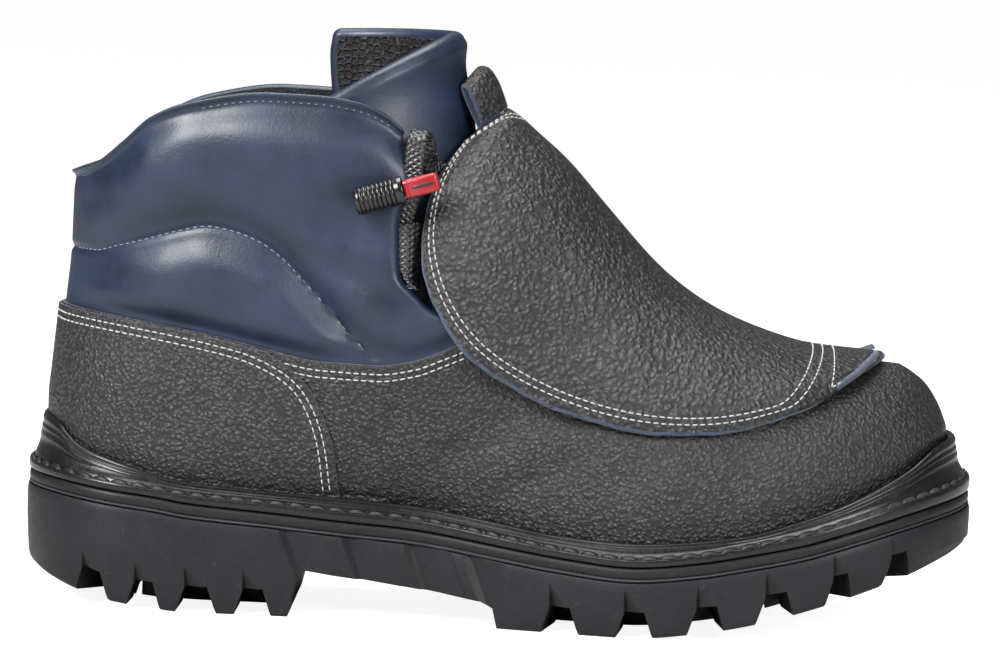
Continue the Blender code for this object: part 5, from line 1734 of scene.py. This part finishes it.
LACE_LOOP = (
    # station, side, height, face_x, face_y, face_z
    (0.3930, 0.3255, 0.738, 0.2, -1.0, 0.0),
    (0.3940, 0.3290, 0.774, 0.1, -1.0, 0.0),
    (0.3985, 0.3400, 0.816, 0.0, -1.0, 0.0),
    (0.4015, 0.3500, 0.857, 0.0, -1.0, 0.0),
    (0.4030, 0.3540, 0.899, 0.0, -1.0, 0.2),
    (0.4050, 0.3450, 0.929, 0.1, -0.7, 0.8),
    (0.4075, 0.3190, 0.941, 0.1, 0.0, 1.0),
    (0.4110, 0.2920, 0.930, -0.1, 0.7, 0.8),
    (0.4145, 0.2720, 0.904, -0.3, 0.9, 0.2),
)

LACE_BAR = (
    # along, across
    (0.660, 0.225),
    (0.610, 0.300),
    (0.560, 0.400),
    (0.530, 0.500),
    (0.525, 0.600),
    (0.540, 0.720),
    (0.565, 0.810),
)

LACE_END = (
    # station, side, height, face_x, face_y, face_z
    (0.3960, 0.3330, 0.790, -0.2, -1.0, 0.0),
    (0.3930, 0.3255, 0.765, -0.2, -1.0, 0.0),
    (0.3930, 0.3255, 0.738, -0.2, -1.0, 0.0),
)


def webbing(name, dark, light, roughness):
    """Braid: two sine waves slanted by 0.62 either way over the strap's own width and length; the higher one
    is the yarn on top, whose crowns take the light colour as a painted glint in patches that a noise picks."""
    material, tree, shader = finish_of(name, dark, roughness, Coat_Weight=0.3, Coat_Roughness=0.25)
    along_strap = add(tree, "ShaderNodeUVMap", {"uv_map": "UVMap"}, {})
    sets = []
    for turn in (0.62, -0.62):
        turned = add(tree, "ShaderNodeMapping", {}, {"Vector": along_strap, "Rotation": (0.0, 0.0, turn)})
        yarns = {"Vector": turned, "Scale": 190.0, "Distortion": 0.4}
        sets.append(add(tree, "ShaderNodeTexWave", {"bands_direction": "X"}, yarns, "Fac"))
    yarn = add(tree, "ShaderNodeMath", {"operation": "MAXIMUM"}, {0: sets[0], 1: sets[1]})
    where = add(tree, "ShaderNodeTexCoord", {}, {}, "Object")
    # Painted glint: this noise picks the patches where the yarn crowns take the light colour.
    flecks = {"Vector": where, "Scale": 1.0 / 0.0006, "Detail": 2.0, "Roughness": 0.55}
    fleck = add(tree, "ShaderNodeTexNoise", {}, flecks)
    pale = add(tree, "ShaderNodeMapRange", {}, {"Value": fleck, "From Min": 0.45, "From Max": 0.65})
    share = add(tree, "ShaderNodeMath", {"operation": "MULTIPLY"}, {0: yarn, 1: pale})
    tint = add(tree, "ShaderNodeMix", {"data_type": "RGBA"}, {0: share, 6: linear(dark), 7: linear(light)}, 2)
    tree.links.new(tint, shader.inputs["Base Color"])
    normal = add(tree, "ShaderNodeBump", {}, {"Height": yarn, "Distance": 0.0003, "Strength": 1.0})
    tree.links.new(normal, shader.inputs["Normal"])
    tree.links.new(normal, shader.inputs["Coat Normal"])
    return material


# Polyester yarn, braided flat: black with a silky sheen, the slanted yarns about 1.7 mm apart with a painted
# pale glint on their crowns.
BRAID = webbing("braided_black_polyester", "#09090b", "#3d3f45", 0.38)


def strap(name, route, node):
    """Flat braid along a route: section |x|^4 + |y|^4 = 1, round ends drawn together."""
    path = route[:, :3]
    ahead = unit(np.gradient(path, axis=0))
    face = unit(route[:, 3:] - ahead * np.sum(route[:, 3:] * ahead, axis=1, keepdims=True))
    side = np.cross(ahead, face)
    turn = np.arange(24) * np.pi / 12
    wide = np.sign(np.cos(turn)) * np.abs(np.cos(turn)) ** 0.5
    thick = np.sign(np.sin(turn)) * np.abs(np.sin(turn)) ** 0.7
    rings = (
        path[:, None]
        + side[:, None] * (wide * LACE_WIDTH / 2)[None, :, None]
        + face[:, None] * (thick * LACE_THICKNESS / 2)[None, :, None]
    )
    ends = [np.repeat(end[:, None], 24, axis=1) for end in (path[:1], path[-1:])]
    rings = np.concatenate([ends[0], rings, ends[1]])
    run = run_of(path)
    run = np.concatenate([run[:1], run, run[-1:]])
    uv = np.stack(np.broadcast_arrays(run[:, None], (wide * LACE_WIDTH / 2)[None, :]), axis=-1)
    faces = grid_faces(*rings.shape[:2], wrap_columns=True)
    return build(name, rings, faces, [BRAID], None, [node], uv)


def lace_route():
    """Whole lace: up from the outer keeper, over its loop, across the tongue, into the inner keeper."""
    scale = np.array([LENGTH, BALL_WIDTH, COLLAR_HEIGHT])
    rows = []
    for station, side, height, *face in LACE_LOOP:
        x, reach, z = np.array([station, side, height]) * scale
        rows.append((x - HEEL_REST, float(centre(x)) - reach, z, *face))
    tongue = tongue_grid(14, 15)
    out = grid_normals(tongue, np.array([1.0, 0.0, 0.6]))
    bar = np.array(LACE_BAR)
    points = sample(tongue, bar[:, 0], bar[:, 1])
    normals = unit(sample(out, bar[:, 0], bar[:, 1]))
    points = points + normals * (LACE_THICKNESS / 2 + LACE_CLEARANCE)
    rows += [tuple(row) for row in np.hstack([points, -normals])]
    for station, side, height, *face in LACE_END:
        x, reach, z = np.array([station, side, height]) * scale
        rows.append((x - HEEL_REST, float(centre(x)) + reach, z, *face))
    return smooth_route(rows, 400)


LACE_ROUTE = lace_route()


def make_lace():
    """The route cut in two by length: the standing loop of 47 mm, and after three gaps the rest."""
    run = run_of(LACE_ROUTE[:, :3])
    loop = at_lengths(LACE_ROUTE[:, :3], LACE_ROUTE, np.linspace(0, LOOP_LENGTH, 90))
    rest = at_lengths(LACE_ROUTE[:, :3], LACE_ROUTE, np.linspace(LOOP_LENGTH + 3 * GAP, run[-1], 140))
    strap("lace_bar", rest, "lace")
    return strap("lace_standing_loop", loop, "lace_loop"), loop


STANDING_LOOP, LOOP_PATH = make_lace()

# Keepers: black webbing folded round the lace and sewn into the shaft's front edge on both sides.

KEEPER_THICKNESS = 0.0014
KEEPER_HEIGHT = 0.0200
KEEPER_TOP = 0.1285

KEEPER = (
    # station, side
    (0.3900, 0.3540),
    (0.4010, 0.3500),
    (0.4080, 0.3340),
    (0.4125, 0.3160),
    (0.4100, 0.2980),
    (0.4000, 0.2930),
    (0.3860, 0.2970),
    (0.3680, 0.3040),
)


def make_keeper(name, side, node):
    """KEEPER's plan curve, mirrored by side, at even heights; each starts at the shaft's front edge there."""
    base = topline(0.468 * LENGTH)
    rows = []
    for height in np.linspace(KEEPER_TOP - KEEPER_HEIGHT, KEEPER_TOP, 24):
        rise = (height - base) / (collar_rim(0.388 * LENGTH) - base)
        edge = float(along(rise, SHAFT_FRONT, 1)) + 1.5 * GAP / LENGTH
        plan = np.array([(edge, KEEPER[0][1]), *KEEPER[1:]]) * np.array([LENGTH, BALL_WIDTH])
        plan = smooth_route(np.column_stack([plan, 0 * plan[:, 0]]), 60)
        rows.append(place(plan[:, 0], centre(plan[:, 0]) + side * plan[:, 1], height))
    outer = np.array(rows)
    out = grid_normals(outer, np.zeros(3))
    out = out if np.mean(out[:, 24:30, 0]) > 0 else -out
    points, faces, kinds = wall(outer, outer - out * KEEPER_THICKNESS)
    uv = points[..., [2, 0]]
    build(name, points, faces, [BRAID, BRAID, BRAID], kinds, [node], uv)


make_keeper("outer_keeper_fold", -1, "lace_keeper_outer")
make_keeper("inner_keeper_fold", 1, "lace_keeper_inner")

# Lock: a glossy black plastic barrel with ribs, threaded on the lace, and the red push button in its
# front end. Pressed against its spring the button lets the lock slide along the lace.

LOCK_RADIUS = 0.00465
LOCK_LENGTH = 0.0160
LOCK_COLLAR = 0.0028
BUTTON_LENGTH = 0.0112
BUTTON_HEIGHT = 0.0062
LOCK_BACK = (0.3446, 0.808)
LOCK_FRONT = (0.3900, 0.833)
LOCK_RIBS = 8


def plastic(name, colour, roughness):
    """Moulded plastic: even colour; a noise 0.9 mm wide is the orange peel in the bump, and one of 4 mm
    makes the gloss uneven, as handling does."""
    material, tree, shader = finish_of(name, colour, roughness, Coat_Weight=0.3, Coat_Roughness=0.15)
    where = add(tree, "ShaderNodeTexCoord", {}, {}, "Object")
    peels = {"Vector": where, "Scale": 1.0 / 0.0009, "Detail": 2.0, "Roughness": 0.55}
    peel = add(tree, "ShaderNodeTexNoise", {}, peels)
    touches = {"Vector": where, "Scale": 1.0 / 0.004, "Detail": 3.0, "Roughness": 0.55}
    touch = add(tree, "ShaderNodeTexNoise", {}, touches)
    shine = {"Value": touch, "From Min": 0.3, "From Max": 0.7}
    shine |= {"To Min": roughness - 0.05, "To Max": roughness + 0.1}
    tree.links.new(add(tree, "ShaderNodeMapRange", {}, shine), shader.inputs["Roughness"])
    normal = add(tree, "ShaderNodeBump", {}, {"Height": peel, "Distance": 0.00004, "Strength": 0.6})
    tree.links.new(normal, shader.inputs["Normal"])
    return material


# Acetal, injection moulded in a polished mould: black and glossy, with sharp small lights.
LOCK_PLASTIC = plastic("moulded_black_acetal", "#0d0d0f", 0.26)
# Acetal, injection moulded in deep red: a little softer in its gloss than the barrel.
BUTTON_PLASTIC = plastic("moulded_red_acetal", "#8f0e17", 0.30)
# Painted shade of the button's slots: the red acetal drawn almost black and dull where the slots' shade
# falls.
PAINTED_SLOT_SHADE = plastic("painted_slot_shade", "#2a0507", 0.5)


def lock_axis():
    """Back end and unit axis of the lock, lying on the padding of the shaft."""
    ends = np.array([LOCK_BACK, LOCK_FRONT]) * np.array([LENGTH, COLLAR_HEIGHT])
    base = topline(ends[:, 0])
    rise = (ends[:, 1] - base) / (collar_rim(ends[:, 0]) - base)
    half, _ = shaft(ends[:, 0], rise, heel_back(ends[:, 1]))
    seam = COLLAR_HEIGHT * along(ends[:, 0] / LENGTH, PAD_SEAM, 1)
    out = np.max(half + PAD * (0.25 + 0.75 * (np.abs(ends[:, 1] - seam) > 0.004))) + GAP + LOCK_RADIUS
    points = place(ends[:, 0], centre(ends[:, 0]) - out, ends[:, 1])
    return points[0], unit(points[1] - points[0])


def make_lock():
    """The barrel: a profile turned about the lock's axis, ribbed by |sin|^0.6 and domed by a quarter circle
    at its back. The button: rounded square rings |x|^(2/0.42) + |y|^(2/0.42) = 1 drawn along it."""
    back, ahead = lock_axis()
    low, high = [np.array(corner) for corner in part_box("lace_lock_barrel")]
    back = back + np.array([0, (low[1] + high[1]) / 2 - (back + ahead * LOCK_LENGTH / 2)[1], 0])
    side = unit(np.cross(np.array([0, 0, 1.0]), ahead))
    up = np.cross(ahead, side)
    at = np.linspace(0, LOCK_LENGTH - LOCK_COLLAR, 120)
    phase = (at - 0.0016) / (LOCK_LENGTH - LOCK_COLLAR - 0.0016) * LOCK_RIBS
    groove = np.where(phase > 0, np.abs(np.sin(np.pi * np.maximum(phase, 0))) ** 0.6, 1)
    dome = np.sqrt(np.maximum(1 - (1 - np.minimum(at / 0.0016, 1)) ** 2, 0))
    radius = (LOCK_RADIUS - 0.0006 * (1 - groove)) * (0.72 + 0.28 * dome)
    collar = np.array([0.02, 0.2, 1.0, 1.25, 1.45, 2.55, 2.75, 2.8, 2.8, 2.5]) / 1000
    wide = np.array([0.90, 0.97, 0.98, 1.0, 1.0, 1.0, 0.97, 0.90, 0.74, 0.73])
    at = np.concatenate([[0], at, LOCK_LENGTH - LOCK_COLLAR + collar, [LOCK_LENGTH - 0.0003]])
    radius = np.concatenate([[0], radius, LOCK_RADIUS * wide, [0]])
    turn = np.arange(72) * np.pi / 36
    ring = np.cos(turn)[:, None] * side + np.sin(turn)[:, None] * up
    points = back + at[:, None, None] * ahead + radius[:, None, None] * ring
    faces = grid_faces(*points.shape[:2], wrap_columns=True)
    barrel = build("ribbed_barrel", points, faces, [LOCK_PLASTIC], None, ["lace_lock_barrel"])

    turn = np.arange(64) * np.pi / 32
    wide = np.sign(np.cos(turn)) * np.abs(np.cos(turn)) ** 0.42
    tall = np.sign(np.sin(turn)) * np.abs(np.sin(turn)) ** 0.42
    at = np.array([0.0, 0.0, 0.15, 1.2, 1.35, 1.5, 6.0, 9.6, 10.5, 10.9, 11.1, 11.2, 11.2])
    at = at / 11.2 * BUTTON_LENGTH
    size = np.array([0.0, 0.92, 0.97, 1.0, 0.96, 1.0, 1.0, 0.99, 0.95, 0.89, 0.80, 0.60, 0.0])
    size = size * BUTTON_HEIGHT / 2
    start = back + ahead * (LOCK_LENGTH + GAP)
    ring = wide[:, None] * side + tall[:, None] * up
    points = start + at[:, None, None] * ahead + size[:, None, None] * ring
    faces = grid_faces(*points.shape[:2], wrap_columns=True)
    materials = [BUTTON_PLASTIC]
    button = build("push_button", points, faces, materials, None, ["lace_lock_button"])
    # Painted shade: thin dark capsules on both sides of the button stand in for the shade inside its slots.
    slot_shades = []
    for way in (-1, 1):
        path = start + np.linspace(0.0022, 0.0104, 9)[:, None] * ahead + way * side * BUTTON_HEIGHT / 2
        slot_shades.append((path, np.broadcast_to(way * side, path.shape)))
    threads("button_slot_shades", slot_shades, 0.0080, 0.0080, 0.0012, 0.0003, PAINTED_SLOT_SHADE, "button_plastic")


make_lock()
